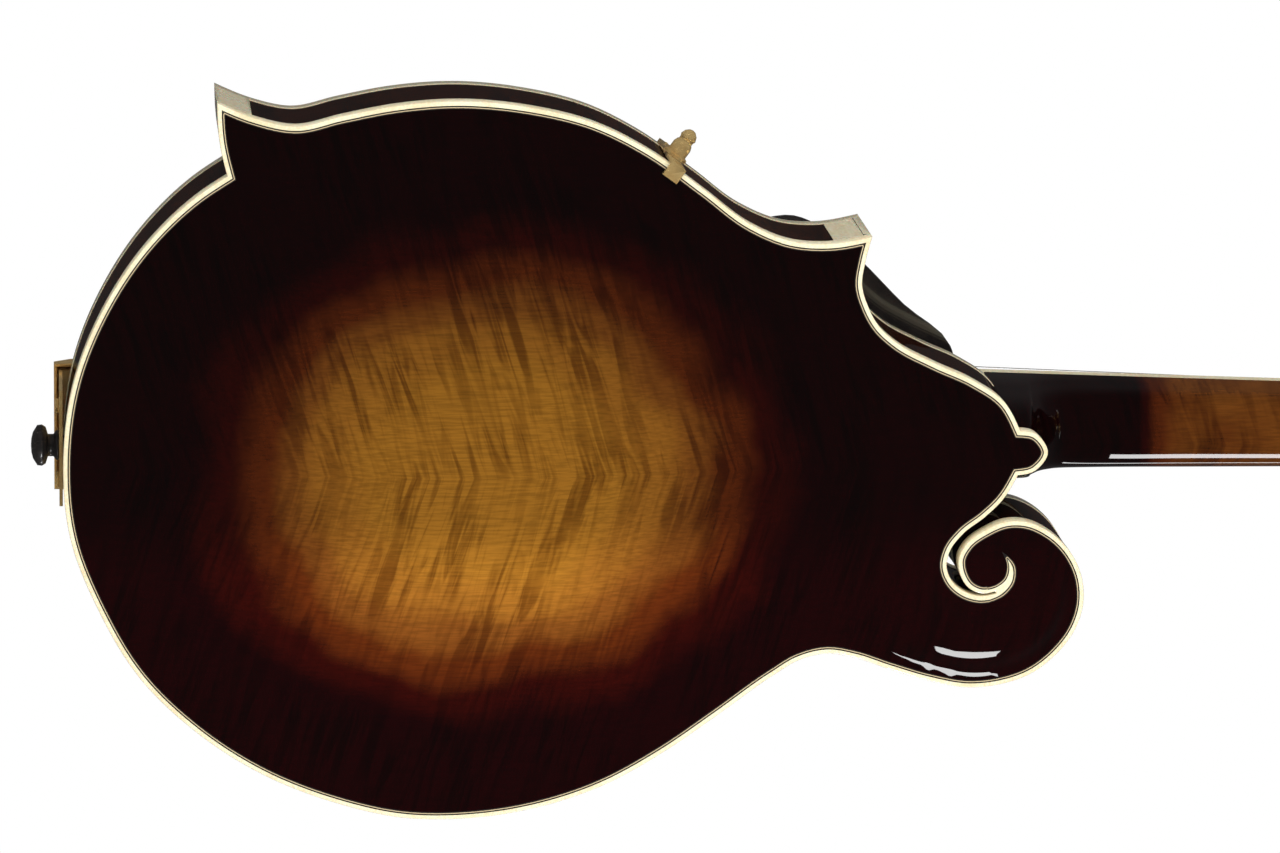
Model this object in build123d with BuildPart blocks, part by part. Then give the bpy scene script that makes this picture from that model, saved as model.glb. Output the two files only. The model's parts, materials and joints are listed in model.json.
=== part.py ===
from build123d import *
import math
import os

import numpy as np

# Scroll-body carved mandolin, in millimetres.
# +Z runs along the neck towards the headstock, -Y is the side the soundboard faces, +X is the treble side.
# The origin is the middle of the nut, on the plane where the fingerboard is glued to the neck.

os.makedirs("parts", exist_ok=True)

# ---------------------------------------------------------------- driving dimensions
SCALE_LENGTH = 352.4
BODY_TAIL = -530.2          # height of the lowest point of the body
FRONT_EDGE = -5.0           # plane of the soundboard's edge
BACK_EDGE = 40.0            # plane of the back's edge
NECK_PITCH = 5.0
HEAD_PITCH = 18.0
ARCH_HEIGHT = 15.0
PLATE = 4.0                 # thickness of the soundboard and back
RIB = 2.2
BINDING = 1.5
BINDING_HEIGHT = 6.35
PURFLING = 1.2
PURFLING_DEPTH = 1.5
INLAY_EDGE = BINDING + PURFLING
LINING = 5.0
LINING_HEIGHT = 11.0

FINGERBOARD = 4.8
FRET_COUNT = 24
FRET_HEIGHT = 1.0
FRET_WIDTH = 2.0
NUT_WIDTH = 27.8
NUT_LENGTH = 4.8
NECK_TAPER = 0.0345         # growth of the fingerboard's width per millimetre
BOARD_END = -268.0
NECK_JOINT = -204.0
HEAD_THICKNESS = 15.0
VENEER = 1.6
POST_RADIUS = 3.0
POST_ROW = 21.0
POST_STEPS = (34.0, 58.0, 82.0, 106.0)
WORM_OFFSET = 7.0
PLATE_GAUGE = 1.2

BRIDGE_AT = 178.0           # bridge line above the tail
ANCHOR_AT = 21.0            # string hooks above the tail
GAUGES = (1.02, 1.02, 0.66, 0.66, 0.38, 0.38, 0.28, 0.28)
PAIR_AT_NUT = 1.2
PAIR_AT_BRIDGE = 1.7
COURSE_AT_NUT = 7.2
COURSE_AT_BRIDGE = 13.4
COURSE_AT_ANCHOR = 9.2
PAIR_AT_ANCHOR = 2.3

# ---------------------------------------------------------------- planes
TILT = math.radians(NECK_PITCH)
LEAN = math.radians(HEAD_PITCH)


def body_plane(y):
    """Plane facing the soundboard side at depth y, with its origin at the tail."""
    return Plane(origin=(0, y, BODY_TAIL), x_dir=(1, 0, 0), z_dir=(0, -1, 0))


def neck_plane(rise=0.0):
    """Plane parallel to the fingerboard, rise millimetres in front of its glue line."""
    normal = Vector(0, -math.cos(TILT), math.sin(TILT))
    return Plane(origin=normal * rise, x_dir=(1, 0, 0), z_dir=normal)


def neck_section(along):
    """Plane across the neck, with its local Y pointing to the back of the neck."""
    axis = Vector(0, math.sin(TILT), math.cos(TILT))
    return Plane(origin=axis * along, x_dir=(1, 0, 0), z_dir=axis)


def head_plane(rise=0.0):
    """Plane parallel to the headstock's face, rise millimetres in front of its wood."""
    normal = Vector(0, -math.cos(LEAN), math.sin(LEAN))
    start = neck_plane().from_local_coords(Vector(0, NUT_LENGTH, 0))
    return Plane(origin=start + normal * rise, x_dir=(1, 0, 0), z_dir=normal)


def neck_point(x, along, rise):
    return neck_plane().from_local_coords(Vector(x, along, rise))


def head_point(x, along, rise):
    return head_plane().from_local_coords(Vector(x, along, rise))


# ---------------------------------------------------------------- body outline, as (across, above the tail)
TREBLE_BOUT = [
    (124.0, 52.3), (118.6, 65.5), (115.9, 79.0), (119.4, 95.0), (122.9, 113.0), (124.6, 135.0), (122.5, 159.0),
    (116.8, 182.0), (107.3, 201.0), (93.5, 220.2), (81.5, 236.3), (75.6, 250.5), (74.6, 263.0), (77.2, 278.6),
]
SHOULDER = [
    (77.2, 278.6), (68.0, 276.3), (60.0, 275.4), (52.6, 277.6), (45.4, 281.7), (39.9, 287.6), (32.4, 301.3),
    (26.0, 315.3), (18.4, 326.2), (8.2, 332.0),
]
HEEL_BUTTON = [(8.2, 332.0), (7.2, 337.3), (0.3, 342.0), (-6.5, 337.0), (-7.7, 331.6)]
SLOT_BODY_SIDE = [
    (-7.7, 331.6), (-16.6, 326.4), (-22.6, 320.4), (-28.6, 312.8), (-34.6, 308.4), (-40.2, 307.3), (-45.6, 309.4),
    (-49.4, 313.8), (-51.0, 319.2), (-50.3, 324.6),
]
SLOT_END = (-49.9, 325.0)
SCROLL_AND_WAIST = [
    (-49.4, 324.6), (-50.1, 319.8), (-48.0, 315.2), (-43.4, 312.2), (-37.6, 311.4), (-32.0, 314.3), (-27.4, 320.5),
    (-24.3, 328.0), (-24.4, 335.0), (-28.0, 343.2), (-35.0, 350.6), (-44.6, 355.2), (-54.5, 355.9), (-63.5, 353.2),
    (-72.5, 346.6), (-79.2, 338.0), (-83.1, 326.5), (-84.0, 316.0), (-81.6, 302.5), (-77.2, 288.0), (-72.8, 275.0),
    (-71.3, 266.0), (-73.6, 256.0), (-79.3, 246.6), (-93.2, 227.6), (-107.1, 207.8), (-118.8, 186.7),
    (-126.2, 164.5), (-129.8, 141.0), (-129.4, 117.0), (-123.9, 93.9), (-113.2, 68.0), (-97.8, 45.0),
    (-78.4, 25.6), (-54.2, 11.4), (-28.0, 1.6), (0.0, -0.6), (26.5, 3.0), (52.6, 13.4), (75.5, 28.7),
    (91.5, 45.3), (98.6, 55.8),
]
LOWER_POINT = [(98.6, 55.8), (110.0, 53.2), (124.0, 52.3)]
CURL_OUTSIDE = [(-53.3, 323.0), (-51.0, 328.0), (-46.0, 331.6), (-40.0, 331.6), (-35.0, 326.6)]
CURL_INSIDE = [(-35.0, 326.6), (-40.5, 328.4), (-44.5, 327.4), (-46.6, 325.0), (-47.6, 322.0)]
CURL_CORE_OUTSIDE = [(-52.3, 322.6), (-50.2, 326.9), (-45.7, 330.4), (-40.6, 330.5), (-37.6, 328.6)]
CURL_CORE_INSIDE = [(-37.6, 328.6), (-41.0, 329.4), (-45.0, 328.4), (-47.5, 325.6), (-48.7, 322.2)]


def through(points, per_span=4):
    """Smooth curve through the points: cubic spans whose end slopes are the mean of their neighbours' chords."""
    knots = np.array(points, dtype=float)
    chord = np.hypot(*np.diff(knots, axis=0).T)
    slope = np.diff(knots, axis=0) / chord[:, None]
    inner = (slope[:-1] * chord[1:, None] + slope[1:] * chord[:-1, None]) / (chord[:-1] + chord[1:])[:, None]
    tangent = np.vstack([1.5 * slope[0] - 0.5 * inner[0], inner, 1.5 * slope[-1] - 0.5 * inner[-1]])
    t = np.arange(per_span)[:, None] / per_span
    spans = []
    for k, length in enumerate(chord):
        p, q = knots[k], knots[k + 1]
        m, n = tangent[k] * length, tangent[k + 1] * length
        blend = p * (2 * t**3 - 3 * t**2 + 1) + m * (t**3 - 2 * t**2 + t)
        spans.append(blend + q * (3 * t**2 - 2 * t**3) + n * (t**3 - t**2))
    return np.vstack(spans + [knots[-1:]])


STRETCHES = [TREBLE_BOUT, SHOULDER, HEEL_BUTTON, SLOT_BODY_SIDE, SCROLL_AND_WAIST, LOWER_POINT]
sampled = [through(stretch) for stretch in STRETCHES]
before_slot = [part[:-1] for part in sampled[:3]] + [sampled[3]]
SLOT_INDEX = sum(len(part) for part in before_slot)
body_loop = np.vstack(before_slot + [[SLOT_END]] + [sampled[4][:-1], sampled[5][:-1]])


def inset(loop, amount):
    """Move a closed loop inwards, each vertex along the bisector of its two edges."""
    forward = np.roll(loop, -1, axis=0) - loop
    forward = forward / np.hypot(*forward.T)[:, None]
    normal = np.stack([-forward[:, 1], forward[:, 0]], axis=1)
    area = np.sum(loop[:, 0] * np.roll(loop[:, 1], -1) - np.roll(loop[:, 0], -1) * loop[:, 1])
    normal = normal * np.sign(area)
    before = np.roll(normal, 1, axis=0)
    miter = (before + normal) / (1.0 + np.sum(before * normal, axis=1))[:, None]
    moved = loop + amount * miter
    gaps = np.array([distance_to(point, loop) for point in moved])
    return moved, gaps > amount - 0.04


def distance_to(point, loop):
    """Distance from a point to the nearest edge of a closed loop."""
    step = np.roll(loop, -1, axis=0) - loop
    along = np.clip(np.sum((point - loop) * step, axis=1) / np.sum(step * step, axis=1), 0.0, 1.0)
    return np.hypot(*(point - loop - along[:, None] * step).T).min()


def plain_inset(loop, amount):
    moved, clear = inset(loop, amount)
    return moved[clear]


def inset_with_curl(amount, outside, inside):
    """Inset body outline, with the slot's end swapped for the ivory curl that runs on to its tip."""
    moved, clear = inset(body_loop, amount)
    curl = np.vstack([through(outside), through(inside)[1:]])
    lead, rest = slice(None, SLOT_INDEX - 2), slice(SLOT_INDEX + 3, None)
    return np.vstack([moved[lead][clear[lead]], curl, moved[rest][clear[rest]]])


binding_loop = inset_with_curl(BINDING, CURL_CORE_OUTSIDE, CURL_CORE_INSIDE)
plate_loop = inset_with_curl(INLAY_EDGE, CURL_OUTSIDE, CURL_INSIDE)
wall_loop = plain_inset(body_loop, RIB)


def face_of(loop):
    """Flat face inside a closed loop of (across, above) points."""
    return Face(Wire.make_polygon([Vector(x, z) for x, z in loop], close=True))


body_face = face_of(body_loop)
binding_band = body_face - face_of(binding_loop)
purfling_band = face_of(binding_loop) - face_of(plate_loop)
rib_band = body_face - face_of(wall_loop)

# ---------------------------------------------------------------- carved arch of both plates
DOME_CENTRE = 142.0
DOME_RADIUS = 117.0
DOME_FULLNESS = 1.55
DOME_STATIONS = 9


def dome_rise(radius):
    """Rise of the carved dome at a distance from its centre."""
    return ARCH_HEIGHT * max(0.0, 1.0 - (radius / DOME_RADIUS) ** 2) ** DOME_FULLNESS


dome_axis = Axis((0, 0, BODY_TAIL + DOME_CENTRE), (0, 1, 0))
dome_view = Plane(origin=(0, 0, BODY_TAIL + DOME_CENTRE), x_dir=(1, 0, 0), z_dir=(0, 0, 1))
dome_radii = [DOME_RADIUS * k / (DOME_STATIONS - 1) for k in range(DOME_STATIONS)]
dome_curve = [(radius, dome_rise(radius)) for radius in dome_radii]


def dome_shell(edge, side):
    """Half section of a dome shell, edge at the plate's outer plane, swelling towards side."""
    outer = [(r, edge + side * h) for r, h in dome_curve]
    inner = [(r, edge + side * (h - PLATE)) for r, h in dome_curve]
    Spline(*outer, tangents=((1, 0), (1, 0)))
    Line(outer[-1], inner[-1])
    Spline(*inner, tangents=((1, 0), (1, 0)))
    Line(inner[0], outer[0])


def dome_fill(edge, side, floor):
    """Half section of the space between a dome surface and a flat floor behind it."""
    outer = [(r, edge + side * h) for r, h in dome_curve]
    Spline(*outer, tangents=((1, 0), (1, 0)))
    Line(outer[-1], (outer[-1][0], floor))
    Line((outer[-1][0], floor), (0, floor))
    Line((0, floor), outer[0])


def finish(piece, name):
    """Label a finished piece and write it as its own file."""
    piece.part.label = name
    export_step(piece.part, f"parts/{name}.step")


# ---------------------------------------------------------------- edge trim
with BuildPart() as back_binding:
    with BuildSketch(body_plane(BACK_EDGE)):
        add(binding_band)
    extrude(amount=BINDING_HEIGHT)

with BuildPart() as back_purfling:
    with BuildSketch(body_plane(BACK_EDGE)):
        add(purfling_band)
    extrude(amount=PURFLING_DEPTH)

# ---------------------------------------------------------------- neck and headstock
SHAFT_STATIONS = ((NUT_LENGTH, 15.0), (-60.0, 15.6), (-120.0, 16.6), (-172.0, 18.5))
HEEL_STATIONS = ((-172.0, 18.5, 0.36), (-181.0, 25.0, 0.33), (-187.5, 44.0, 0.26), (-193.0, 53.2, 0.25), (-204.0, 54.2, 0.25))
HEAD_OUTLINE = [(15.0, 6.0), (24.0, 15.0), (31.0, 28.0), (32.5, 60.0), (34.5, 100.0), (37.5, 124.0)]
HEAD_CROWN = [(37.5, 124.0), (30.0, 133.0), (17.0, 132.0), (8.0, 140.0), (0.0, 146.0)]
ROD_DEPTH = 7.2
ROD_RADIUS = 2.4
ROD_POCKET = 26.0


def board_width(along):
    return NUT_WIDTH - along * NECK_TAPER


def neck_profile(width, depth, foot):
    """Half-round cross-section whose flanks close to a share foot of the width near the bottom."""
    Line((width / 2, 0), (-width / 2, 0))
    Spline(
        (-width / 2, 0),
        (-width * 0.46, depth * 0.36),
        (-width * foot, depth * 0.86),
        (0, depth),
        (width * foot, depth * 0.86),
        (width * 0.46, depth * 0.36),
        (width / 2, 0),
    )


half_head = np.vstack([[(NUT_WIDTH / 2, 0.1)], through(HEAD_OUTLINE)[:-1], through(HEAD_CROWN)])
head_loop = np.vstack([half_head, half_head[-2::-1] * (-1, 1)])
veneer_loop = plain_inset(head_loop, 1.5)
head_face = face_of(head_loop)
veneer_face = face_of(veneer_loop)

with BuildPart() as neck:
    for along, depth in SHAFT_STATIONS:
        with BuildSketch(neck_section(along)):
            with BuildLine():
                neck_profile(board_width(along), depth, 0.36)
            make_face()
    loft()
    for along, depth, foot in HEEL_STATIONS:
        with BuildSketch(neck_section(along)):
            with BuildLine():
                neck_profile(board_width(along), depth, foot)
            make_face()
    loft(ruled=True)
    with BuildSketch(neck_section(NECK_JOINT - 12.0)):
        with Locations((0, 26)):
            Rectangle(18, 44)
    extrude(amount=12.5)
    with BuildSketch(neck_plane()):
        with Locations((0, (NECK_JOINT + BOARD_END) / 2 + 4)):
            Rectangle(30, NECK_JOINT - BOARD_END - 6)
    extrude(amount=-6.5)
    with BuildSketch(head_plane()):
        add(head_face)
    extrude(amount=-HEAD_THICKNESS)
    # channel and adjuster pocket for the truss rod
    with BuildSketch(neck_section(-198.0)):
        with Locations((0, ROD_DEPTH)):
            Circle(ROD_RADIUS + 0.1)
    extrude(amount=198.0 + ROD_POCKET, mode=Mode.SUBTRACT)
    with BuildSketch(head_plane(1.0)):
        with Locations((0, 17.0)):
            Rectangle(11.0, 22.0)
    extrude(amount=-11.0, mode=Mode.SUBTRACT)
    for side in (-1, 1):
        for step in POST_STEPS:
            with BuildSketch(head_plane()):
                with Locations((side * POST_ROW, step)):
                    Circle(4.2)
            extrude(amount=-HEAD_THICKNESS, mode=Mode.SUBTRACT)
    with BuildSketch(body_plane(BACK_EDGE + 5.0)):
        with Locations((0, 330)):
            Rectangle(60, 60)
    extrude(amount=5.0 + PLATE, mode=Mode.SUBTRACT)
    add(back_binding.part, mode=Mode.SUBTRACT)

with BuildPart() as truss_rod:
    with BuildSketch(neck_section(-197.0)):
        with Locations((0, ROD_DEPTH)):
            Circle(ROD_RADIUS)
    extrude(amount=197.0 + 15.0)

with BuildPart() as truss_rod_nut:
    with BuildSketch(neck_section(12.0)):
        with Locations((0, ROD_DEPTH)):
            RegularPolygon(radius=3.9, side_count=6)
            Circle(ROD_RADIUS + 0.06, mode=Mode.SUBTRACT)
    extrude(amount=8.0)

with BuildPart() as headstock_veneer:
    with BuildSketch(head_plane()):
        add(veneer_face)
        with Locations((0, 17.0)):
            Rectangle(11.0, 22.0, mode=Mode.SUBTRACT)
        for side in (-1, 1):
            for step in POST_STEPS:
                with Locations((side * POST_ROW, step)):
                    Circle(4.2, mode=Mode.SUBTRACT)
    extrude(amount=VENEER)

with BuildPart() as headstock_binding:
    with BuildSketch(head_plane()):
        add(head_face)
        add(veneer_face, mode=Mode.SUBTRACT)
    extrude(amount=VENEER)

finish(back_binding, "back_binding")
finish(back_purfling, "back_purfling")
finish(neck, "neck")
finish(truss_rod, "truss_rod")
finish(truss_rod_nut, "truss_rod_nut")
finish(headstock_veneer, "headstock_veneer")
finish(headstock_binding, "headstock_binding")

# ---------------------------------------------------------------- soundbox
BLOCK_LINE = 262.0
POINT_REACH = 13.0
TOP_INSIDE = FRONT_EDGE + PLATE
BACK_INSIDE = BACK_EDGE - PLATE
RIB_HEIGHT = BACK_INSIDE - TOP_INSIDE
LOWER_TIP = (124.0, 52.3)
UPPER_TIP = (77.2, 278.6)
TAIL_BLOCK = (62.0, 24.0)
PIN_HOLE = 3.8
RIB_MIDDLE = 17.5
LOWER_ZONE = ((114.0, 62.0), (33.0, 20.0))
UPPER_ZONE = ((67.0, 272.0), (30.0, 20.0))

with BuildPart() as back_plate:
    with BuildSketch(body_plane(BACK_EDGE)):
        add(face_of(binding_loop))
        with Locations((0, DOME_CENTRE)):
            Circle(DOME_RADIUS, mode=Mode.SUBTRACT)
    extrude(amount=PLATE)
    with BuildSketch(body_plane(BACK_EDGE)):
        add(purfling_band)
    extrude(amount=PURFLING_DEPTH, mode=Mode.SUBTRACT)
    with BuildSketch(dome_view):
        with BuildLine():
            dome_shell(BACK_EDGE, 1)
        make_face()
    revolve(axis=dome_axis)

F_HOLE_OUTER = [(50.0, 205.0), (56.5, 199.0), (58.0, 188.0), (56.5, 175.0), (58.5, 160.0), (63.5, 148.0)]
F_HOLE_INNER = [(46.5, 203.0), (52.5, 198.0), (53.6, 188.0), (52.2, 175.0), (54.2, 160.0), (59.5, 146.5)]
F_EYE_TOP = (47.0, 204.5)
F_EYE_BOTTOM = (63.5, 145.5)


def f_hole(side):
    outer = [(x * side, z) for x, z in F_HOLE_OUTER]
    inner = [(x * side, z) for x, z in F_HOLE_INNER]
    Spline(*outer)
    Line(outer[-1], inner[-1])
    Spline(*inner)
    Line(inner[0], outer[0])


with BuildPart() as top_plate:
    with BuildSketch(body_plane(FRONT_EDGE + PLATE)):
        add(face_of(binding_loop))
        with Locations((0, DOME_CENTRE)):
            Circle(DOME_RADIUS, mode=Mode.SUBTRACT)
    extrude(amount=PLATE)
    with BuildSketch(body_plane(FRONT_EDGE + PURFLING_DEPTH)):
        add(purfling_band)
    extrude(amount=PURFLING_DEPTH, mode=Mode.SUBTRACT)
    with BuildSketch(dome_view):
        with BuildLine():
            dome_shell(FRONT_EDGE, -1)
        make_face()
    revolve(axis=dome_axis)
    for side in (-1, 1):
        with BuildSketch(body_plane(FRONT_EDGE + PLATE + 1)):
            with BuildLine():
                f_hole(side)
            make_face()
            with Locations((F_EYE_TOP[0] * side, F_EYE_TOP[1])):
                Circle(3.6)
            with Locations((F_EYE_BOTTOM[0] * side, F_EYE_BOTTOM[1])):
                Circle(4.4)
        extrude(amount=ARCH_HEIGHT + PLATE + 2, mode=Mode.SUBTRACT)
    add(neck.part, mode=Mode.SUBTRACT)

with BuildPart() as top_binding:
    with BuildSketch(body_plane(FRONT_EDGE + BINDING_HEIGHT)):
        add(binding_band)
    extrude(amount=BINDING_HEIGHT)
    add(neck.part, mode=Mode.SUBTRACT)

with BuildPart() as top_purfling:
    with BuildSketch(body_plane(FRONT_EDGE + PURFLING_DEPTH)):
        add(purfling_band)
    extrude(amount=PURFLING_DEPTH)
    add(neck.part, mode=Mode.SUBTRACT)

with BuildSketch() as tip_patches:
    add(binding_band)
    with Locations(LOWER_TIP, UPPER_TIP):
        Circle(POINT_REACH, mode=Mode.INTERSECT)

with BuildPart() as point_protectors:
    with BuildSketch(body_plane(BACK_EDGE - BINDING_HEIGHT)):
        add(tip_patches.sketch)
    extrude(amount=BACK_EDGE - FRONT_EDGE - 2 * BINDING_HEIGHT)

with BuildSketch() as chamber:
    add(face_of(wall_loop))
    with Locations((0, BLOCK_LINE / 2 - 20)):
        Rectangle(300, BLOCK_LINE + 40, mode=Mode.INTERSECT)
    for middle, span in (LOWER_ZONE, UPPER_ZONE):
        with Locations(middle):
            Rectangle(*span, mode=Mode.SUBTRACT)
    with Locations((0, TAIL_BLOCK[1] / 2)):
        Rectangle(*TAIL_BLOCK, mode=Mode.SUBTRACT)

with BuildPart() as rim:
    with BuildSketch(body_plane(BACK_INSIDE)):
        add(rib_band)
        with Locations((0, BLOCK_LINE / 2 - 20)):
            Rectangle(300, BLOCK_LINE + 40, mode=Mode.INTERSECT)
        for middle, span in (LOWER_ZONE, UPPER_ZONE):
            with Locations(middle):
                Rectangle(*span, mode=Mode.SUBTRACT)
    extrude(amount=RIB_HEIGHT)
    with BuildSketch(Plane.XY.offset(BODY_TAIL - 5)):
        with Locations((0, RIB_MIDDLE)):
            Circle(PIN_HOLE)
    extrude(amount=12, mode=Mode.SUBTRACT)
    add(back_binding.part, mode=Mode.SUBTRACT)
    add(top_binding.part, mode=Mode.SUBTRACT)

with BuildPart() as head_block:
    with BuildSketch(body_plane(BACK_INSIDE)):
        add(body_face)
        with Locations((-24, BLOCK_LINE + 50)):
            Rectangle(152, 100, mode=Mode.INTERSECT)
    extrude(amount=RIB_HEIGHT)
    add(back_binding.part, mode=Mode.SUBTRACT)
    add(top_binding.part, mode=Mode.SUBTRACT)
    add(neck.part, mode=Mode.SUBTRACT)

with BuildPart() as point_blocks:
    for middle, span in (LOWER_ZONE, UPPER_ZONE):
        with BuildSketch(body_plane(BACK_INSIDE)):
            add(body_face)
            with Locations(middle):
                Rectangle(*span, mode=Mode.INTERSECT)
        extrude(amount=RIB_HEIGHT)
    add(back_binding.part, mode=Mode.SUBTRACT)
    add(top_binding.part, mode=Mode.SUBTRACT)
    add(point_protectors.part, mode=Mode.SUBTRACT)
    add(head_block.part, mode=Mode.SUBTRACT)

with BuildPart() as tail_block:
    with BuildSketch(body_plane(BACK_INSIDE)):
        add(face_of(wall_loop))
        with Locations((0, TAIL_BLOCK[1] / 2)):
            Rectangle(*TAIL_BLOCK, mode=Mode.INTERSECT)
    extrude(amount=RIB_HEIGHT)
    with BuildSketch(Plane.XY.offset(BODY_TAIL - 5)):
        with Locations((0, RIB_MIDDLE)):
            Circle(PIN_HOLE)
    extrude(amount=26, mode=Mode.SUBTRACT)

with BuildSketch() as lining_band:
    add(chamber.sketch)
    offset(amount=-LINING, kind=Kind.ARC, mode=Mode.SUBTRACT)

with BuildPart() as rim_linings:
    for level in (BACK_INSIDE, TOP_INSIDE + LINING_HEIGHT):
        with BuildSketch(body_plane(level)):
            add(lining_band.sketch)
        extrude(amount=LINING_HEIGHT)

with BuildPart() as tone_bars:
    with BuildSketch(body_plane(TOP_INSIDE - 0.5)):
        with Locations((-21, 158), (23, 158)):
            Rectangle(6, 176)
    extrude(amount=ARCH_HEIGHT + 2)
    with BuildSketch(dome_view):
        with BuildLine():
            dome_fill(TOP_INSIDE, -1, TOP_INSIDE + 2)
        make_face()
    revolve(axis=dome_axis, mode=Mode.INTERSECT)

# ---------------------------------------------------------------- tail hardware
LEG_FACE = BODY_TAIL - 0.8
LEG_GAUGE = 1.2
TAIL_WIDTH = 41.0
LEG_TOP = -12.6
LEG_BOTTOM = 23.5
HOOK_HEIGHT = 4.6
HOOK_RADIUS = 1.0
ANCHOR_Y = LEG_TOP - 2.2

with BuildPart() as tailpiece_base:
    with BuildSketch(Plane.XY.offset(LEG_FACE - LEG_GAUGE)):
        with Locations((0, (LEG_TOP + LEG_BOTTOM) / 2)):
            Rectangle(TAIL_WIDTH, LEG_BOTTOM - LEG_TOP)
        with Locations((0, RIB_MIDDLE)):
            Circle(PIN_HOLE + 0.1, mode=Mode.SUBTRACT)
        with Locations((-13, 13), (13, 13)):
            Circle(1.6, mode=Mode.SUBTRACT)
    extrude(amount=LEG_GAUGE)
    with BuildSketch(body_plane(LEG_TOP + LEG_GAUGE)):
        with Locations((0, 15.3)):
            Rectangle(TAIL_WIDTH, 34.6)
    extrude(amount=LEG_GAUGE)
    with BuildSketch(body_plane(LEG_TOP)):
        for course in (-1.5, -0.5, 0.5, 1.5):
            for pair in (-1, 1):
                with Locations((course * COURSE_AT_ANCHOR + pair * PAIR_AT_ANCHOR, ANCHOR_AT - 1.5)):
                    Circle(HOOK_RADIUS)
    extrude(amount=HOOK_HEIGHT)

COVER_PROFILE = [(-3.8, -12.9), (-3.8, -17.0), (2.0, -21.5), (20.0, -24.0), (38.0, -25.6), (50.0, -26.0), (50.0, -12.9)]
COVER_HALF = 22.6
COVER_SKIN = 1.0


def cover_outline(inset):
    """Side view of the cover as (above the tail, depth), open along the bottom and at the front end."""
    reach = inset * 3
    points = [(z, y) for z, y in COVER_PROFILE]
    points[0] = (points[0][0] + inset, points[0][1] + reach)
    points[1] = (points[1][0] + inset, points[1][1] + inset)
    points[2] = (points[2][0] + inset * 0.6, points[2][1] + inset)
    points[3] = (points[3][0], points[3][1] + inset)
    points[4] = (points[4][0], points[4][1] + inset)
    points[5] = (points[5][0] + reach, points[5][1] + inset)
    points[6] = (points[6][0] + reach, points[6][1] + reach)
    return points


side_plane = Plane(origin=(0, 0, BODY_TAIL), x_dir=(0, 0, 1), z_dir=(-1, 0, 0))

with BuildPart() as tailpiece_cover:
    with BuildSketch(side_plane):
        with BuildLine():
            Polyline(*[(z, y) for z, y in cover_outline(0.0)], close=True)
        make_face()
    extrude(amount=COVER_HALF, both=True)
    fillet(tailpiece_cover.edges().filter_by(Axis.X).group_by(Axis.Y)[0], radius=0.6)
    with BuildSketch(side_plane):
        with BuildLine():
            Polyline(*[(z, y) for z, y in cover_outline(COVER_SKIN)], close=True)
        make_face()
    extrude(amount=COVER_HALF - COVER_SKIN, both=True, mode=Mode.SUBTRACT)

PIN_SEAT = LEG_FACE - LEG_GAUGE
END_PIN_PROFILE = [
    (0.0, 16.0), (3.0, 16.0), (3.7, 0.0), (5.2, 0.0), (5.2, -1.0), (3.9, -2.0), (3.9, -3.9), (6.4, -4.7),
    (7.2, -6.0), (7.0, -7.6), (4.6, -9.1), (2.4, -9.65), (0.0, -9.8),
]

with BuildPart() as end_pin:
    with BuildSketch(Plane(origin=(0, RIB_MIDDLE, PIN_SEAT), x_dir=(1, 0, 0), z_dir=(0, -1, 0))):
        add(Face(Wire.make_polygon([Vector(r, z) for r, z in END_PIN_PROFILE], close=True)))
    revolve(axis=Axis((0, RIB_MIDDLE, PIN_SEAT), (0, 0, 1)))

for piece, name in (
    (back_plate, "back_plate"),
    (top_plate, "top_plate"),
    (top_binding, "top_binding"),
    (top_purfling, "top_purfling"),
    (point_protectors, "point_protectors"),
    (rim, "rim"),
    (head_block, "head_block"),
    (point_blocks, "point_blocks"),
    (tail_block, "tail_block"),
    (rim_linings, "rim_linings"),
    (tone_bars, "tone_bars"),
    (tailpiece_base, "tailpiece_base"),
    (tailpiece_cover, "tailpiece_cover"),
    (end_pin, "end_pin"),
):
    finish(piece, name)

# ---------------------------------------------------------------- fingerboard and frets
EDGE_STRIP = 1.5
MARKER_FRETS = ((3, (0.0,)), (5, (0.0,)), (7, (0.0,)), (10, (0.0,)), (12, (-6.0, 6.0)), (15, (0.0,)))
MARKER_RADIUS = 2.6
MARKER_DEPTH = 1.2


def fret_at(number):
    """Distance of a fret from the nut, by the equal-tempered rule."""
    return -SCALE_LENGTH * (1.0 - 2.0 ** (-number / 12.0))


def board_face(side_inset, end_radius):
    """Tapered fingerboard outline with a gently rounded body end."""
    near = NUT_WIDTH / 2 - side_inset
    far = board_width(BOARD_END) / 2 - side_inset
    outline = [(-near, 0.0), (near, 0.0), (far, BOARD_END + end_radius)]
    arc = [(far * math.cos(a), BOARD_END + end_radius - end_radius * math.sin(a)) for a in np.linspace(0, math.pi, 9)]
    return face_of(outline[:2] + arc)


with BuildPart() as fingerboard:
    with BuildSketch(neck_plane()):
        add(board_face(EDGE_STRIP, 3.0))
    extrude(amount=FINGERBOARD)
    for number, places in MARKER_FRETS:
        middle = (fret_at(number) + fret_at(number - 1)) / 2
        with BuildSketch(neck_plane(FINGERBOARD)):
            for place in places:
                with Locations((place, middle)):
                    Circle(MARKER_RADIUS)
        extrude(amount=-MARKER_DEPTH, mode=Mode.SUBTRACT)

with BuildPart() as fingerboard_binding:
    with BuildSketch(neck_plane()):
        add(board_face(0.0, 4.5))
        add(board_face(EDGE_STRIP, 3.0), mode=Mode.SUBTRACT)
    extrude(amount=FINGERBOARD)

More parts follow.
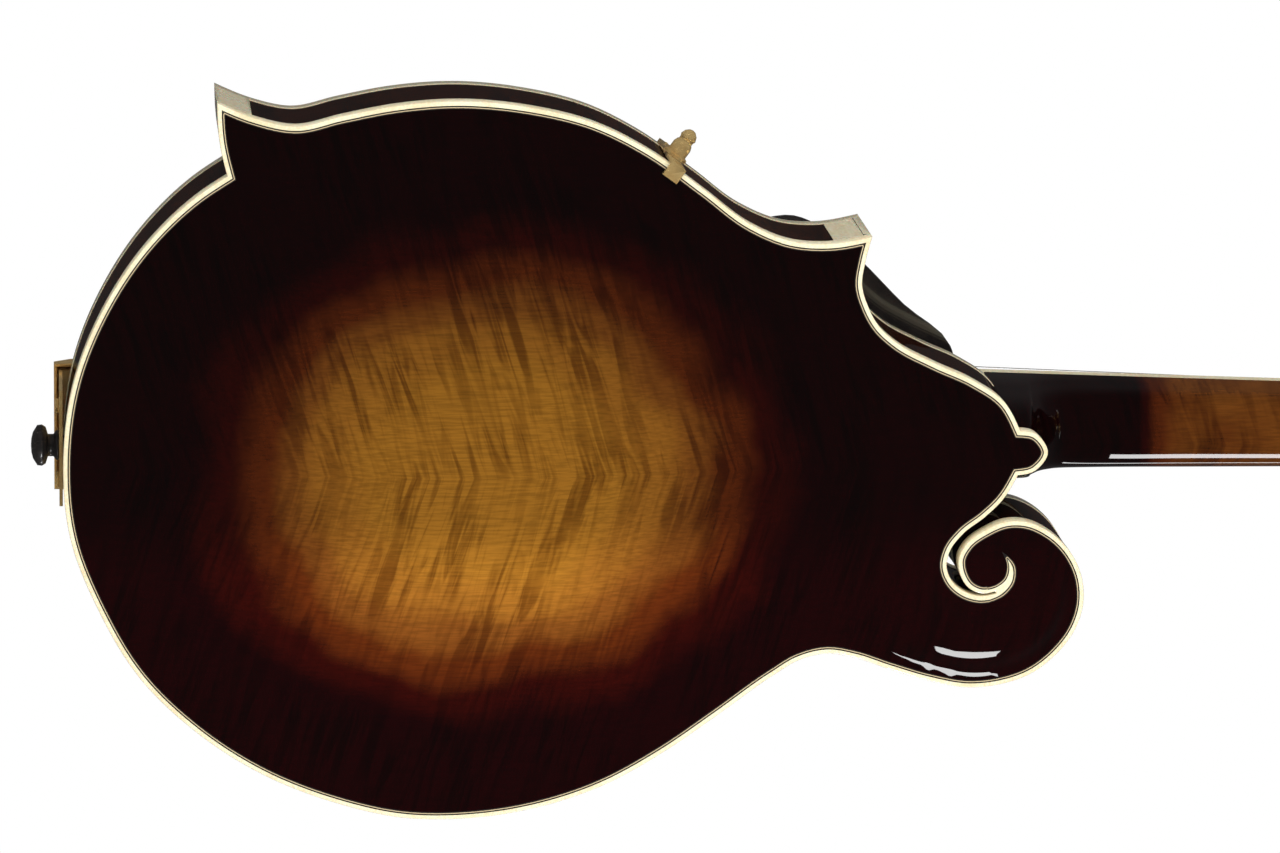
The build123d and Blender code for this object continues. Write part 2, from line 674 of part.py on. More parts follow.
with BuildPart() as frets:
    for number in range(1, FRET_COUNT + 1):
        half = board_width(fret_at(number)) / 2 - 0.4
        with BuildSketch(Plane(neck_point(-half, fret_at(number), FINGERBOARD), x_dir=neck_plane().y_dir, z_dir=(1, 0, 0))):
            with BuildLine():
                Line((-FRET_WIDTH / 2, 0), (FRET_WIDTH / 2, 0))
                ThreePointArc((FRET_WIDTH / 2, 0), (0, FRET_HEIGHT), (-FRET_WIDTH / 2, 0))
            make_face()
        extrude(amount=2 * half)

with BuildPart() as pearl_inlays:
    for number, places in MARKER_FRETS:
        middle = (fret_at(number) + fret_at(number - 1)) / 2
        with BuildSketch(neck_plane(FINGERBOARD)):
            for place in places:
                with Locations((place, middle)):
                    Circle(MARKER_RADIUS)
        extrude(amount=-MARKER_DEPTH)

# ---------------------------------------------------------------- strings' places
NUT_TOP = 6.9
STRING_AT_NUT = FINGERBOARD + FRET_HEIGHT + 0.35
SADDLE_TOP = -38.75
COURSES = (-1.5, -0.5, 0.5, 1.5)
WINDING_TURNS = 3
WINDING_RISE = 6.4
LOOP_RADIUS = 1.75
SADDLE_RELIEF = 0.05


strings = []
POST_ORDER = ((-1, 0), (-1, 1), (-1, 2), (-1, 3), (1, 2), (1, 3), (1, 0), (1, 1))
for index, gauge in enumerate(GAUGES):
    course = COURSES[index // 2]
    pair = (-1, 1)[index % 2]
    side, row = POST_ORDER[index]
    radius = gauge / 2
    nut_x = course * COURSE_AT_NUT + pair * PAIR_AT_NUT
    bridge_x = course * COURSE_AT_BRIDGE + pair * PAIR_AT_BRIDGE
    anchor_x = course * COURSE_AT_ANCHOR + pair * PAIR_AT_ANCHOR
    turn_radius = POST_RADIUS + radius
    reach = math.sqrt(2 * turn_radius * (2 * radius + 0.12))
    post = Vector(side * POST_ROW, POST_STEPS[row], 0)
    rise = WINDING_RISE + radius * WINDING_TURNS
    leave_nut = neck_point(nut_x, NUT_LENGTH, STRING_AT_NUT + radius)
    tangent_point = head_point(post.X - side * turn_radius, post.Y, rise)
    run = (tangent_point - leave_nut).normalized()
    route = [
        Vector(anchor_x, ANCHOR_Y, BODY_TAIL + ANCHOR_AT + LOOP_RADIUS),
        Vector(bridge_x, SADDLE_TOP - radius - SADDLE_RELIEF, BODY_TAIL + BRIDGE_AT),
        neck_point(nut_x, 0.4, STRING_AT_NUT + radius),
        leave_nut,
        tangent_point - run * reach,
    ]
    strings.append({
        "gauge": gauge, "route": route, "side": side, "row": row, "nut_x": nut_x, "anchor_x": anchor_x,
        "turn_radius": turn_radius,
    })


def wire_along(route, radius):
    """Round wire along straight runs, with a ball at each bend."""
    pieces = None
    for start, stop in zip(route[:-1], route[1:]):
        run = stop - start
        length = run.length
        rod = Solid.make_cylinder(radius, length, Plane(start, z_dir=run.normalized()))
        pieces = rod if pieces is None else pieces.fuse(rod)
    for bend in route[1:-1]:
        pieces = pieces.fuse(Solid.make_sphere(radius, Plane(bend), angle1=-90, angle2=90, angle3=360))
    return pieces


def loop_end(string):
    """Twisted loop that hooks the tailpiece: a ring round the hook."""
    radius = string["gauge"] / 2
    centre = Vector(string["anchor_x"], ANCHOR_Y, BODY_TAIL + ANCHOR_AT - 1.5 + 0.15)
    return Solid.make_torus(LOOP_RADIUS, radius, Plane(centre, z_dir=(0, 1, 0)))


with BuildPart() as wound_strings:
    for string in strings[:4]:
        add(wire_along(string["route"], string["gauge"] / 2))
        add(loop_end(string))

with BuildPart() as plain_strings:
    for string in strings[4:]:
        add(wire_along(string["route"], string["gauge"] / 2))
        add(loop_end(string))

with BuildPart() as nut:
    with BuildSketch(neck_plane()):
        with Locations((0, NUT_LENGTH / 2)):
            Rectangle(NUT_WIDTH, NUT_LENGTH)
    extrude(amount=NUT_TOP)
    add(neck.part, mode=Mode.SUBTRACT)
    add(headstock_binding.part, mode=Mode.SUBTRACT)
    for string in strings:
        radius = string["gauge"] / 2
        with BuildSketch(neck_plane(STRING_AT_NUT - 0.03)):
            with Locations((string["nut_x"], NUT_LENGTH / 2)):
                Rectangle(string["gauge"] + 0.12, NUT_LENGTH + 2)
        extrude(amount=3, mode=Mode.SUBTRACT)

# ---------------------------------------------------------------- bridge
BASE_TOP = -28.0
WHEEL_GAP = 0.3
WHEEL_THICKNESS = 2.5
WHEEL_RADIUS = 7.2
STUD_RADIUS = 1.7
STUD_SPREAD = 28.0
SADDLE_FOOT = BASE_TOP - 2 * WHEEL_GAP - WHEEL_THICKNESS
BASE_SHAPE = [(0, BASE_TOP), (33, BASE_TOP), (44, -23.5), (58, -17.0), (58, 0), (0, 0)]
SADDLE_SHAPE = [(0, SADDLE_TOP), (26.5, SADDLE_TOP), (30, -37.0), (34, -34.5), (35, SADDLE_FOOT), (0, SADDLE_FOOT)]
bridge_plane = Plane.XY.offset(BODY_TAIL + BRIDGE_AT)


def both_sides(shape):
    """Closed outline from its half, mirrored across the middle."""
    left = [(-x, y) for x, y in reversed(shape) if x > 0]
    right = [(x, y) for x, y in shape if x > 0]
    return face_of(left + right)


with BuildPart() as bridge_base:
    with BuildSketch(bridge_plane):
        add(both_sides(BASE_SHAPE))
    extrude(amount=6.0, both=True)
    with BuildSketch(dome_view):
        with BuildLine():
            dome_fill(FRONT_EDGE - 0.02, -1, 5.0)
        make_face()
    revolve(axis=dome_axis, mode=Mode.SUBTRACT)
    with BuildSketch(body_plane(BASE_TOP + 6.0)):
        with Locations((-STUD_SPREAD, BRIDGE_AT), (STUD_SPREAD, BRIDGE_AT)):
            Circle(STUD_RADIUS)
    extrude(amount=12.0, mode=Mode.SUBTRACT)

with BuildPart() as bridge_posts:
    with BuildSketch(body_plane(BASE_TOP + 6.0)):
        with Locations((-STUD_SPREAD, BRIDGE_AT), (STUD_SPREAD, BRIDGE_AT)):
            Circle(STUD_RADIUS)
    extrude(amount=6.0 + 8.0)

SADDLE_HALF = 4.2

with BuildPart() as bridge_saddle:
    with BuildSketch(bridge_plane):
        add(both_sides(SADDLE_SHAPE))
    extrude(amount=SADDLE_HALF, both=True)
    with BuildSketch(side_plane):
        with Locations((BRIDGE_AT, SADDLE_TOP + SADDLE_HALF)):
            Circle(SADDLE_HALF)
        with Locations((BRIDGE_AT, SADDLE_TOP + SADDLE_HALF + 10)):
            Rectangle(2 * SADDLE_HALF, 20)
    extrude(amount=40.0, both=True, mode=Mode.INTERSECT)
    with BuildSketch(body_plane(SADDLE_FOOT + 1.0)):
        with Locations((-STUD_SPREAD, BRIDGE_AT), (STUD_SPREAD, BRIDGE_AT)):
            Circle(STUD_RADIUS + 0.06)
    extrude(amount=1.0 + 5.0, mode=Mode.SUBTRACT)

for side, name in ((-1, "thumbwheel_bass"), (1, "thumbwheel_treble")):
    with BuildPart() as thumbwheel:
        with BuildSketch(body_plane(BASE_TOP - WHEEL_GAP)):
            with Locations((side * STUD_SPREAD, BRIDGE_AT)):
                Circle(WHEEL_RADIUS)
                Circle(STUD_RADIUS + 0.06, mode=Mode.SUBTRACT)
        extrude(amount=WHEEL_THICKNESS)
    finish(thumbwheel, name)

for piece, name in (
    (fingerboard, "fingerboard"),
    (fingerboard_binding, "fingerboard_binding"),
    (frets, "frets"),
    (pearl_inlays, "pearl_inlays"),
    (wound_strings, "wound_strings"),
    (plain_strings, "plain_strings"),
    (nut, "nut"),
    (bridge_base, "bridge_base"),
    (bridge_posts, "bridge_posts"),
    (bridge_saddle, "bridge_saddle"),
):
    finish(piece, name)

# ---------------------------------------------------------------- pickguard and its side clamp
GUARD_LOOP = [
    (19.6, -214.0), (19.6, -240.0), (19.8, -268.0), (23.0, -280.0), (27.0, -302.0), (33.0, -334.0), (40.0, -348.0),
    (49.0, -348.0), (57.0, -336.0), (64.0, -312.0), (71.0, -286.0), (72.6, -273.0), (68.0, -262.0), (57.0, -249.0),
    (41.0, -233.0), (26.0, -216.0), (19.6, -214.0),
]
GUARD_RISE = 1.2
GUARD_THICKNESS = 2.4
GUARD_PINS = (-226.0, -254.0)
CLAMP_AT = (101.0, 210.0)
CLAMP_NORMAL = (0.81, 0.586)
STRAP_WIDTH = 6.0
STRAP_GAUGE = 1.3
STRAP_GAP = 0.25
CLAMP_STUD_DEPTH = 22.0
STUD_REACH = 9.0

with BuildPart() as pickguard:
    with BuildSketch(neck_plane(GUARD_RISE)):
        add(face_of(through(GUARD_LOOP)[:-1]))
    extrude(amount=GUARD_THICKNESS)
    for along in GUARD_PINS:
        pin_start = neck_point(board_width(along) / 2 + 0.1, along, GUARD_RISE + GUARD_THICKNESS / 2)
        with BuildSketch(Plane(pin_start, x_dir=(0, 0, 1), z_dir=(1, 0, 0))):
            Circle(0.8)
        extrude(amount=8.0, mode=Mode.SUBTRACT)

with BuildPart() as pickguard_pins:
    for along in GUARD_PINS:
        pin_start = neck_point(board_width(along) / 2 + 0.1, along, GUARD_RISE + GUARD_THICKNESS / 2)
        with BuildSketch(Plane(pin_start, x_dir=(0, 0, 1), z_dir=(1, 0, 0))):
            Circle(0.8)
        extrude(amount=7.6)

clamp_origin = Vector(CLAMP_AT[0], 0, BODY_TAIL + CLAMP_AT[1])
clamp_out = Vector(CLAMP_NORMAL[0], 0, CLAMP_NORMAL[1]).normalized()
clamp_view = Plane(origin=clamp_origin, x_dir=clamp_out, z_dir=clamp_out.cross(Vector(0, 1, 0)))
claw = STRAP_GAP + 0.1
STRAP_PROFILE = [
    (-4.0, BACK_EDGE + claw), (STRAP_GAP, BACK_EDGE + claw), (STRAP_GAP, FRONT_EDGE - 0.6), (-3.0, FRONT_EDGE - 0.6),
    (-3.0, FRONT_EDGE - 0.6 - STRAP_GAUGE), (STRAP_GAP + STRAP_GAUGE, FRONT_EDGE - 0.6 - STRAP_GAUGE),
    (STRAP_GAP + STRAP_GAUGE, BACK_EDGE + claw + STRAP_GAUGE), (-4.0, BACK_EDGE + claw + STRAP_GAUGE),
]
ARM_RADIUS = 1.2
guard_pad = neck_point(66.0, -309.0, GUARD_RISE - 0.9)
ARM_ROUTE = [
    clamp_origin + clamp_out * 0.6 + Vector(0, FRONT_EDGE - 1.2, 0),
    Vector(98.0, -19.0, BODY_TAIL + 211.0),
    Vector(88.0, -26.0, BODY_TAIL + 213.5),
    guard_pad + Vector(0, 0.9, 0),
]

with BuildPart() as pickguard_bracket:
    with BuildSketch(clamp_view):
        with BuildLine():
            Polyline(*STRAP_PROFILE, close=True)
        make_face()
    extrude(amount=STRAP_WIDTH / 2, both=True)
    add(wire_along(ARM_ROUTE, ARM_RADIUS))
    with BuildSketch(Plane(guard_pad, x_dir=(1, 0, 0), z_dir=neck_plane().z_dir)):
        Circle(3.4)
    extrude(amount=0.9)
    stud_start = clamp_origin + clamp_out * (STRAP_GAP + STRAP_GAUGE / 2) + Vector(0, CLAMP_STUD_DEPTH, 0)
    with BuildSketch(Plane(stud_start, x_dir=(0, 1, 0), z_dir=clamp_out)):
        Circle(1.4)
    extrude(amount=STUD_REACH)

clamp_seat = clamp_origin + clamp_out * (STRAP_GAP + STRAP_GAUGE + 0.1) + Vector(0, CLAMP_STUD_DEPTH, 0)
ACORN_PROFILE = [
    (1.46, 0.0), (4.5, 0.0), (4.5, 1.0), (3.5, 1.6), (3.5, 4.6), (3.0, 6.0), (2.6, 6.4), (2.6, 7.2), (3.0, 8.2),
    (2.4, 9.8), (1.2, 10.9), (0.0, 11.2), (0.0, 9.6), (1.46, 9.6),
]

with BuildPart() as pickguard_clamp_nut:
    with BuildSketch(Plane(origin=clamp_seat, x_dir=(0, 1, 0), z_dir=clamp_out.cross(Vector(0, 1, 0)))):
        add(Face(Wire.make_polygon([Vector(r, -h) for r, h in ACORN_PROFILE], close=True)))
    revolve(axis=Axis(clamp_seat, clamp_out))

# ---------------------------------------------------------------- tuners
TUNER_PLATE = ((POST_ROW, 66.0), (14.0, 102.0))
GEAR_RADIUS = 4.4
GEAR_TEETH = 16
GEAR_THICKNESS = 3.4
WORM_RADIUS = 2.4
PLATE_BACK = -HEAD_THICKNESS - PLATE_GAUGE
GEAR_FACE = PLATE_BACK - 0.9
WORM_LEVEL = GEAR_FACE - GEAR_THICKNESS / 2
SHAFT_RADIUS = 1.5
KEY_RUN = (-7.0, 26.0)
BUTTON_AT = 24.5
BUTTON_LENGTH = 14.0
POST_TOP = 15.0
EAR = (2.0, 5.2)
EAR_SPREAD = 5.4
TURNING_GAP = 0.05

for side, name in ((-1, "tuner_plate_bass"), (1, "tuner_plate_treble")):
    with BuildPart() as tuner_plate:
        with BuildSketch(head_plane(-HEAD_THICKNESS)):
            with Locations((side * TUNER_PLATE[0][0], TUNER_PLATE[0][1])):
                RectangleRounded(*TUNER_PLATE[1], radius=2.5)
        extrude(amount=-PLATE_GAUGE)
        with BuildSketch(head_plane(PLATE_BACK)):
            for step in POST_STEPS:
                for way in (-1, 1):
                    with Locations((side * POST_ROW + way * EAR_SPREAD, step - WORM_OFFSET)):
                        Rectangle(*EAR)
        extrude(amount=-(GEAR_THICKNESS + 1.6))
        for step in POST_STEPS:
            with BuildSketch(head_plane(PLATE_BACK)):
                with Locations((side * POST_ROW, step)):
                    Circle(POST_RADIUS + TURNING_GAP)
            extrude(amount=PLATE_GAUGE, mode=Mode.SUBTRACT)
            shaft_start = head_point(side * POST_ROW - 9.0, step - WORM_OFFSET, WORM_LEVEL)
            with BuildSketch(Plane(shaft_start, x_dir=(0, 1, 0), z_dir=(1, 0, 0))):
                Circle(SHAFT_RADIUS + TURNING_GAP)
            extrude(amount=18.0, mode=Mode.SUBTRACT)
        for level in (17.5, 45.5, 70.0, 94.5, 114.5):
            with BuildSketch(head_plane(PLATE_BACK)):
                with Locations((side * (POST_ROW + (0 if level in (17.5, 114.5) else 4.6)), level)):
                    Circle(1.15)
            extrude(amount=PLATE_GAUGE, mode=Mode.SUBTRACT)
    finish(tuner_plate, name)


def gear_loop(radius, teeth, depth):
    """Gear outline with smooth rounded teeth: the radius swells and sinks as a cosine round the wheel."""
    angle = np.linspace(0, 2 * math.pi, teeth * 6, endpoint=False)
    reach = radius - depth / 2 + depth / 2 * np.cos(teeth * angle)
    return np.stack([reach * np.cos(angle), reach * np.sin(angle)], axis=1)


number = 0
for side in (-1, 1):
    for row, step in enumerate(POST_STEPS):
        number += 1
        with BuildPart() as tuner_post:
            with BuildSketch(head_plane(GEAR_FACE - GEAR_THICKNESS - 0.8)):
                with Locations((side * POST_ROW, step)):
                    Circle(POST_RADIUS - 0.6)
            extrude(amount=0.8)
            with BuildSketch(head_plane(GEAR_FACE)):
                with Locations((side * POST_ROW, step)):
                    add(face_of(gear_loop(GEAR_RADIUS, GEAR_TEETH, 0.7)))
            extrude(amount=-GEAR_THICKNESS)
            with BuildSketch(head_plane(GEAR_FACE)):
                with Locations((side * POST_ROW, step)):
                    Circle(POST_RADIUS)
            extrude(amount=POST_TOP - GEAR_FACE)
            for string in strings:
                if string["side"] == side and string["row"] == row:
                    for turn in range(WINDING_TURNS):
                        level = WINDING_RISE + string["gauge"] * (turn + 0.5)
                        middle = head_point(side * POST_ROW, step, level)
                        ring = Plane(middle, z_dir=head_plane().z_dir)
                        add(Solid.make_torus(string["turn_radius"], string["gauge"] / 2, ring))
        finish(tuner_post, f"tuner_post_{number}")

        worm_centre = head_point(side * POST_ROW, step - WORM_OFFSET, WORM_LEVEL)
        outward = Vector(side, 0, 0)
        across = head_plane().y_dir
        with BuildPart() as tuning_key:
            with BuildSketch(Plane(worm_centre + outward * KEY_RUN[0], x_dir=across, z_dir=outward)):
                Circle(SHAFT_RADIUS)
            extrude(amount=KEY_RUN[1] - KEY_RUN[0])
            with BuildSketch(Plane(worm_centre - outward * 3.8, x_dir=across, z_dir=outward)):
                Circle(WORM_RADIUS)
            extrude(amount=7.6)
            with BuildSketch(Plane(worm_centre + outward * 19.5, x_dir=across, z_dir=outward)):
                Circle(2.3)
            extrude(amount=2.0)
            with BuildSketch(Plane(worm_centre + outward * BUTTON_AT, x_dir=across, z_dir=outward)):
                Ellipse(3.4, 3.0)
            with BuildSketch(Plane(worm_centre + outward * (BUTTON_AT + 5.0), x_dir=across, z_dir=outward)):
                Ellipse(7.6, 4.2)
            with BuildSketch(Plane(worm_centre + outward * (BUTTON_AT + 10.5), x_dir=across, z_dir=outward)):
                Ellipse(7.8, 4.0)
            with BuildSketch(Plane(worm_centre + outward * (BUTTON_AT + BUTTON_LENGTH), x_dir=across, z_dir=outward)):
                Ellipse(4.6, 2.4)
            loft()
        finish(tuning_key, f"tuning_key_{number}")

with BuildPart() as post_bushings:
    for side in (-1, 1):
        for step in POST_STEPS:
            with BuildSketch(head_plane(VENEER)):
                with Locations((side * POST_ROW, step)):
                    Circle(5.2)
                    Circle(POST_RADIUS + TURNING_GAP, mode=Mode.SUBTRACT)
            extrude(amount=1.0)
            with BuildSketch(head_plane(VENEER)):
                with Locations((side * POST_ROW, step)):
                    Circle(4.2)
                    Circle(POST_RADIUS + TURNING_GAP, mode=Mode.SUBTRACT)
            extrude(amount=-(VENEER + 5.0))

COVER_PLATE = [(0, 3.0), (7.4, 3.6), (8.4, 8.0), (8.0, 16.0), (6.4, 23.0), (4.6, 29.0), (2.6, 32.6), (0, 33.4)]
with BuildPart() as truss_rod_cover:
    with BuildSketch(head_plane(VENEER)):
        right = through(COVER_PLATE)
        add(face_of(np.vstack([right, right[-2:0:-1] * (-1, 1)])))
    extrude(amount=1.6)

SCREW_HEAD = 1.9
SCREW_LEVELS = (17.5, 45.5, 70.0, 94.5, 114.5)
with BuildPart() as wood_screws:
    for side in (-1, 1):
        for level in SCREW_LEVELS:
            spot = side * (POST_ROW + (0 if level in (SCREW_LEVELS[0], SCREW_LEVELS[-1]) else 4.6))
            with BuildSketch(head_plane(PLATE_BACK)):
                with Locations((spot, level)):
                    Circle(SCREW_HEAD)
            extrude(amount=-0.9)
            with BuildSketch(head_plane(PLATE_BACK)):
                with Locations((spot, level)):
                    Circle(1.1)
            extrude(amount=PLATE_GAUGE)
    for x in (-13, 13):
        with BuildSketch(Plane.XY.offset(PIN_SEAT)):
            with Locations((x, 13)):
                Circle(2.6)
        extrude(amount=-1.3)
        with BuildSketch(Plane.XY.offset(PIN_SEAT)):
            with Locations((x, 13)):
                Circle(1.5)
        extrude(amount=LEG_GAUGE)
    with BuildSketch(head_plane(VENEER + 1.6)):
        with Locations((0, 30.0)):
            Circle(1.4)
    extrude(amount=0.7)

for piece, name in (
    (pickguard, "pickguard"),
    (pickguard_pins, "pickguard_pins"),
    (pickguard_bracket, "pickguard_bracket"),
    (pickguard_clamp_nut, "pickguard_clamp_nut"),
    (post_bushings, "post_bushings"),
    (truss_rod_cover, "truss_rod_cover"),
    (wood_screws, "wood_screws"),
):
    finish(piece, name)
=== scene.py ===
"""Scroll-body carved mandolin, seen from behind: its visible shells, woods, trims and studio.

Sizes and places are millimetres in the object's own frame and become metres when a mesh is made.
+Z runs towards the headstock, -Y is the soundboard side, +X is the treble side.
"""

import json
import logging
import math
from dataclasses import dataclass, field
from enum import Enum
from typing import Iterable, Sequence, Union

import bmesh
import bpy
import numpy as np
from mathutils import Matrix, Vector
from mathutils.geometry import delaunay_2d_cdt

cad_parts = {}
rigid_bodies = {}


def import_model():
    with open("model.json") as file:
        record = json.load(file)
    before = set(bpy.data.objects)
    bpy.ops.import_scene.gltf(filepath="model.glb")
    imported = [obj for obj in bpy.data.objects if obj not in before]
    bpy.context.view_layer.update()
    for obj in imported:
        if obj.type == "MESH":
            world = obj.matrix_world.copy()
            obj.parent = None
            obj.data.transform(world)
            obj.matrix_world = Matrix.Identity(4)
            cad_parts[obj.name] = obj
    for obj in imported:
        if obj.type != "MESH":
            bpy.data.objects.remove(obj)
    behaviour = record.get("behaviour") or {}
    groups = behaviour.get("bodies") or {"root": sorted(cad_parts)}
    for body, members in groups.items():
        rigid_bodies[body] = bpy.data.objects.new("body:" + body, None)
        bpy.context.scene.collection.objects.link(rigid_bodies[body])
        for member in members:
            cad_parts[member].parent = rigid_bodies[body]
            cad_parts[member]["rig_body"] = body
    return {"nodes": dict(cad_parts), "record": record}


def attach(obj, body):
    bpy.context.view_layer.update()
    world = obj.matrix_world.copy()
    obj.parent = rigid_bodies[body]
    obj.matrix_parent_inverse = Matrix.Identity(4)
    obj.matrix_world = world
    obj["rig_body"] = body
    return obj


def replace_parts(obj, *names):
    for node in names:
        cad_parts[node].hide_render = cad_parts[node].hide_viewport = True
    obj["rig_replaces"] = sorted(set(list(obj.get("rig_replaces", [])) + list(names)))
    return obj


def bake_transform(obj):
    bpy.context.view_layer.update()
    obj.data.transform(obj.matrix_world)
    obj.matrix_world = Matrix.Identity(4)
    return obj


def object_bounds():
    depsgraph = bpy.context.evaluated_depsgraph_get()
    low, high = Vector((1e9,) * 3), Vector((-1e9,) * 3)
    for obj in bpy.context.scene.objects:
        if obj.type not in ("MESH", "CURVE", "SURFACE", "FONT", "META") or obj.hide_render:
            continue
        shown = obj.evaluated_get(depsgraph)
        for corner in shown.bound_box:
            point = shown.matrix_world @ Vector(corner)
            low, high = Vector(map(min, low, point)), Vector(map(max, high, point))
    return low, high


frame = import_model()
FRAME_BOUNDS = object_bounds()
log = logging.getLogger("mandolin")

MM = 0.001
BODY_TAIL = -530.2
FRONT_EDGE = -5.0
BACK_EDGE = 40.0
PLATE = 4.0
BINDING = 1.5
BINDING_HEIGHT = 6.35
PURFLING_DEPTH = 1.5
INLAY_EDGE = 2.7
NUT_WIDTH = 27.8
NECK_TAPER = 0.0345
NECK_PITCH = math.radians(5.0)
BRIDGE_AT = 178.0
WELD_DISTANCE = 0.004
SHORTEST_EDGE = 0.002
MITRE_LIMIT = 1.6            # how far a trim corner may run out, as a multiple of the inset

# ---------------------------------------------------------------- body outline, as (across, above the tail)
TREBLE_BOUT = [
    (124.0, 52.3), (118.6, 65.5), (115.9, 79.0), (119.4, 95.0), (122.9, 113.0), (124.6, 135.0),
    (122.5, 159.0), (116.8, 182.0), (107.3, 201.0), (93.5, 220.2), (81.5, 236.3), (75.6, 250.5),
    (74.6, 263.0), (77.2, 278.6),
]
SHOULDER = [
    (77.2, 278.6), (68.0, 276.3), (60.0, 275.4), (52.6, 277.6), (45.4, 281.7), (39.9, 287.6), (32.4, 301.3),
    (26.0, 315.3), (18.4, 326.2), (8.2, 332.0),
]
HEEL_BUTTON = [(8.2, 332.0), (7.2, 337.3), (0.3, 342.0), (-6.5, 337.0), (-7.7, 331.6)]
SLOT_BODY_SIDE = [
    (-7.7, 331.6), (-16.6, 326.4), (-22.6, 320.4), (-28.6, 312.8), (-34.6, 308.4), (-40.2, 307.3),
    (-45.6, 309.4), (-49.4, 313.8), (-51.0, 319.2), (-50.3, 324.6),
]
SLOT_END = (-49.9, 325.0)
SCROLL_AND_WAIST = [
    (-49.4, 324.6), (-50.1, 319.8), (-48.0, 315.2), (-43.4, 312.2), (-37.6, 311.4), (-32.0, 314.3),
    (-27.4, 320.5), (-24.3, 328.0), (-24.4, 335.0), (-28.0, 343.2), (-35.0, 350.6), (-44.6, 355.2),
    (-54.5, 355.9), (-63.5, 353.2), (-72.5, 346.6), (-79.2, 338.0), (-83.1, 326.5), (-84.0, 316.0),
    (-81.6, 302.5), (-77.2, 288.0), (-72.8, 275.0), (-71.3, 266.0), (-73.6, 256.0), (-79.3, 246.6),
    (-93.2, 227.6), (-107.1, 207.8), (-118.8, 186.7), (-126.2, 164.5), (-129.8, 141.0), (-129.4, 117.0),
    (-123.9, 93.9), (-113.2, 68.0), (-97.8, 45.0), (-78.4, 25.6), (-54.2, 11.4), (-28.0, 1.6),
    (0.0, -0.6), (26.5, 3.0), (52.6, 13.4), (75.5, 28.7), (91.5, 45.3), (98.6, 55.8),
]
LOWER_POINT = [(98.6, 55.8), (110.0, 53.2), (124.0, 52.3)]
CURL_OUTSIDE = [(-53.3, 323.0), (-51.0, 328.0), (-46.0, 331.6), (-40.0, 331.6), (-35.0, 326.6)]
CURL_INSIDE = [(-35.0, 326.6), (-40.5, 328.4), (-44.5, 327.4), (-46.6, 325.0), (-47.6, 322.0)]
CURL_CORE_OUTSIDE = [(-52.3, 322.6), (-50.2, 326.9), (-45.7, 330.4), (-40.6, 330.5), (-37.6, 328.6)]
CURL_CORE_INSIDE = [(-37.6, 328.6), (-41.0, 329.4), (-45.0, 328.4), (-47.5, 325.6), (-48.7, 322.2)]
# crest of the carved scroll, as (across, above the tail, reach of the swelling, height)
SCROLL_CREST = [
    (-30.0, 323.0, 5.0, 1.5), (-31.0, 334.0, 7.0, 2.5), (-39.0, 343.0, 9.0, 3.5),
    (-50.0, 346.0, 12.0, 4.5), (-60.0, 341.0, 15.0, 5.5), (-64.0, 330.0, 18.0, 6.0),
    (-64.0, 317.0, 20.0, 6.0), (-60.0, 303.0, 20.0, 5.5), (-53.0, 288.0, 20.0, 4.0),
]
F_HOLE_OUTER = [(50.0, 205.0), (56.5, 199.0), (58.0, 188.0), (56.5, 175.0), (58.5, 160.0), (63.5, 148.0)]
F_HOLE_INNER = [(59.5, 146.5), (54.2, 160.0), (52.2, 175.0), (53.6, 188.0), (52.5, 198.0), (46.5, 203.0)]


class Slot(Enum):
    """The record's material slots."""

    FLAMED_MAPLE = "flamed_maple"
    SPRUCE_TOP = "spruce_top"
    INNER_WOOD = "inner_wood"
    IVOROID = "ivoroid"
    PURFLING = "purfling"
    EBONY = "ebony"
    GOLD_PLATE = "gold_plate"
    GOLD_TUNER = "gold_tuner"
    BRASS = "brass"
    BLACK_PLATE = "black_plate"
    STEEL_ROD = "steel_rod"
    FRET_WIRE = "fret_wire"
    PEARL = "pearl"
    BONE = "bone"
    PLAIN_STEEL = "plain_steel"
    BRONZE_WOUND = "bronze_wound"


# ---------------------------------------------------------------- shader networks
class Signal:
    """A node socket that can be used in arithmetic.

    Args:
        net: the network that the socket belongs to.
        socket: the output socket.
    """

    def __init__(self, net: "Net", socket: bpy.types.NodeSocket) -> None:
        """Keep the network and the socket."""
        self.net = net
        self.socket = socket

    def __add__(self, other: "Signal | float") -> "Signal":
        """Sum."""
        return self.net.math("ADD", self, other)

    def __sub__(self, other: "Signal | float") -> "Signal":
        """Difference."""
        return self.net.math("SUBTRACT", self, other)

    def __rsub__(self, other: float) -> "Signal":
        """Difference from a plain number."""
        return self.net.math("SUBTRACT", other, self)

    def __mul__(self, other: "Signal | float") -> "Signal":
        """Product."""
        return self.net.math("MULTIPLY", self, other)

    def __truediv__(self, other: "Signal | float") -> "Signal":
        """Quotient."""
        return self.net.math("DIVIDE", self, other)

    def __pow__(self, power: float) -> "Signal":
        """Power."""
        return self.net.math("POWER", self, power)

    def __abs__(self) -> "Signal":
        """Absolute value."""
        return self.net.math("ABSOLUTE", self)

    def least(self, other: "Signal | float") -> "Signal":
        """The smaller of this and another value."""
        return self.net.math("MINIMUM", self, other)

    __radd__ = __add__
    __rmul__ = __mul__


Colour = tuple[float, float, float]
Stops = Sequence[tuple[float, Colour]]
Value = Union[Signal, float, tuple[float, ...], None]


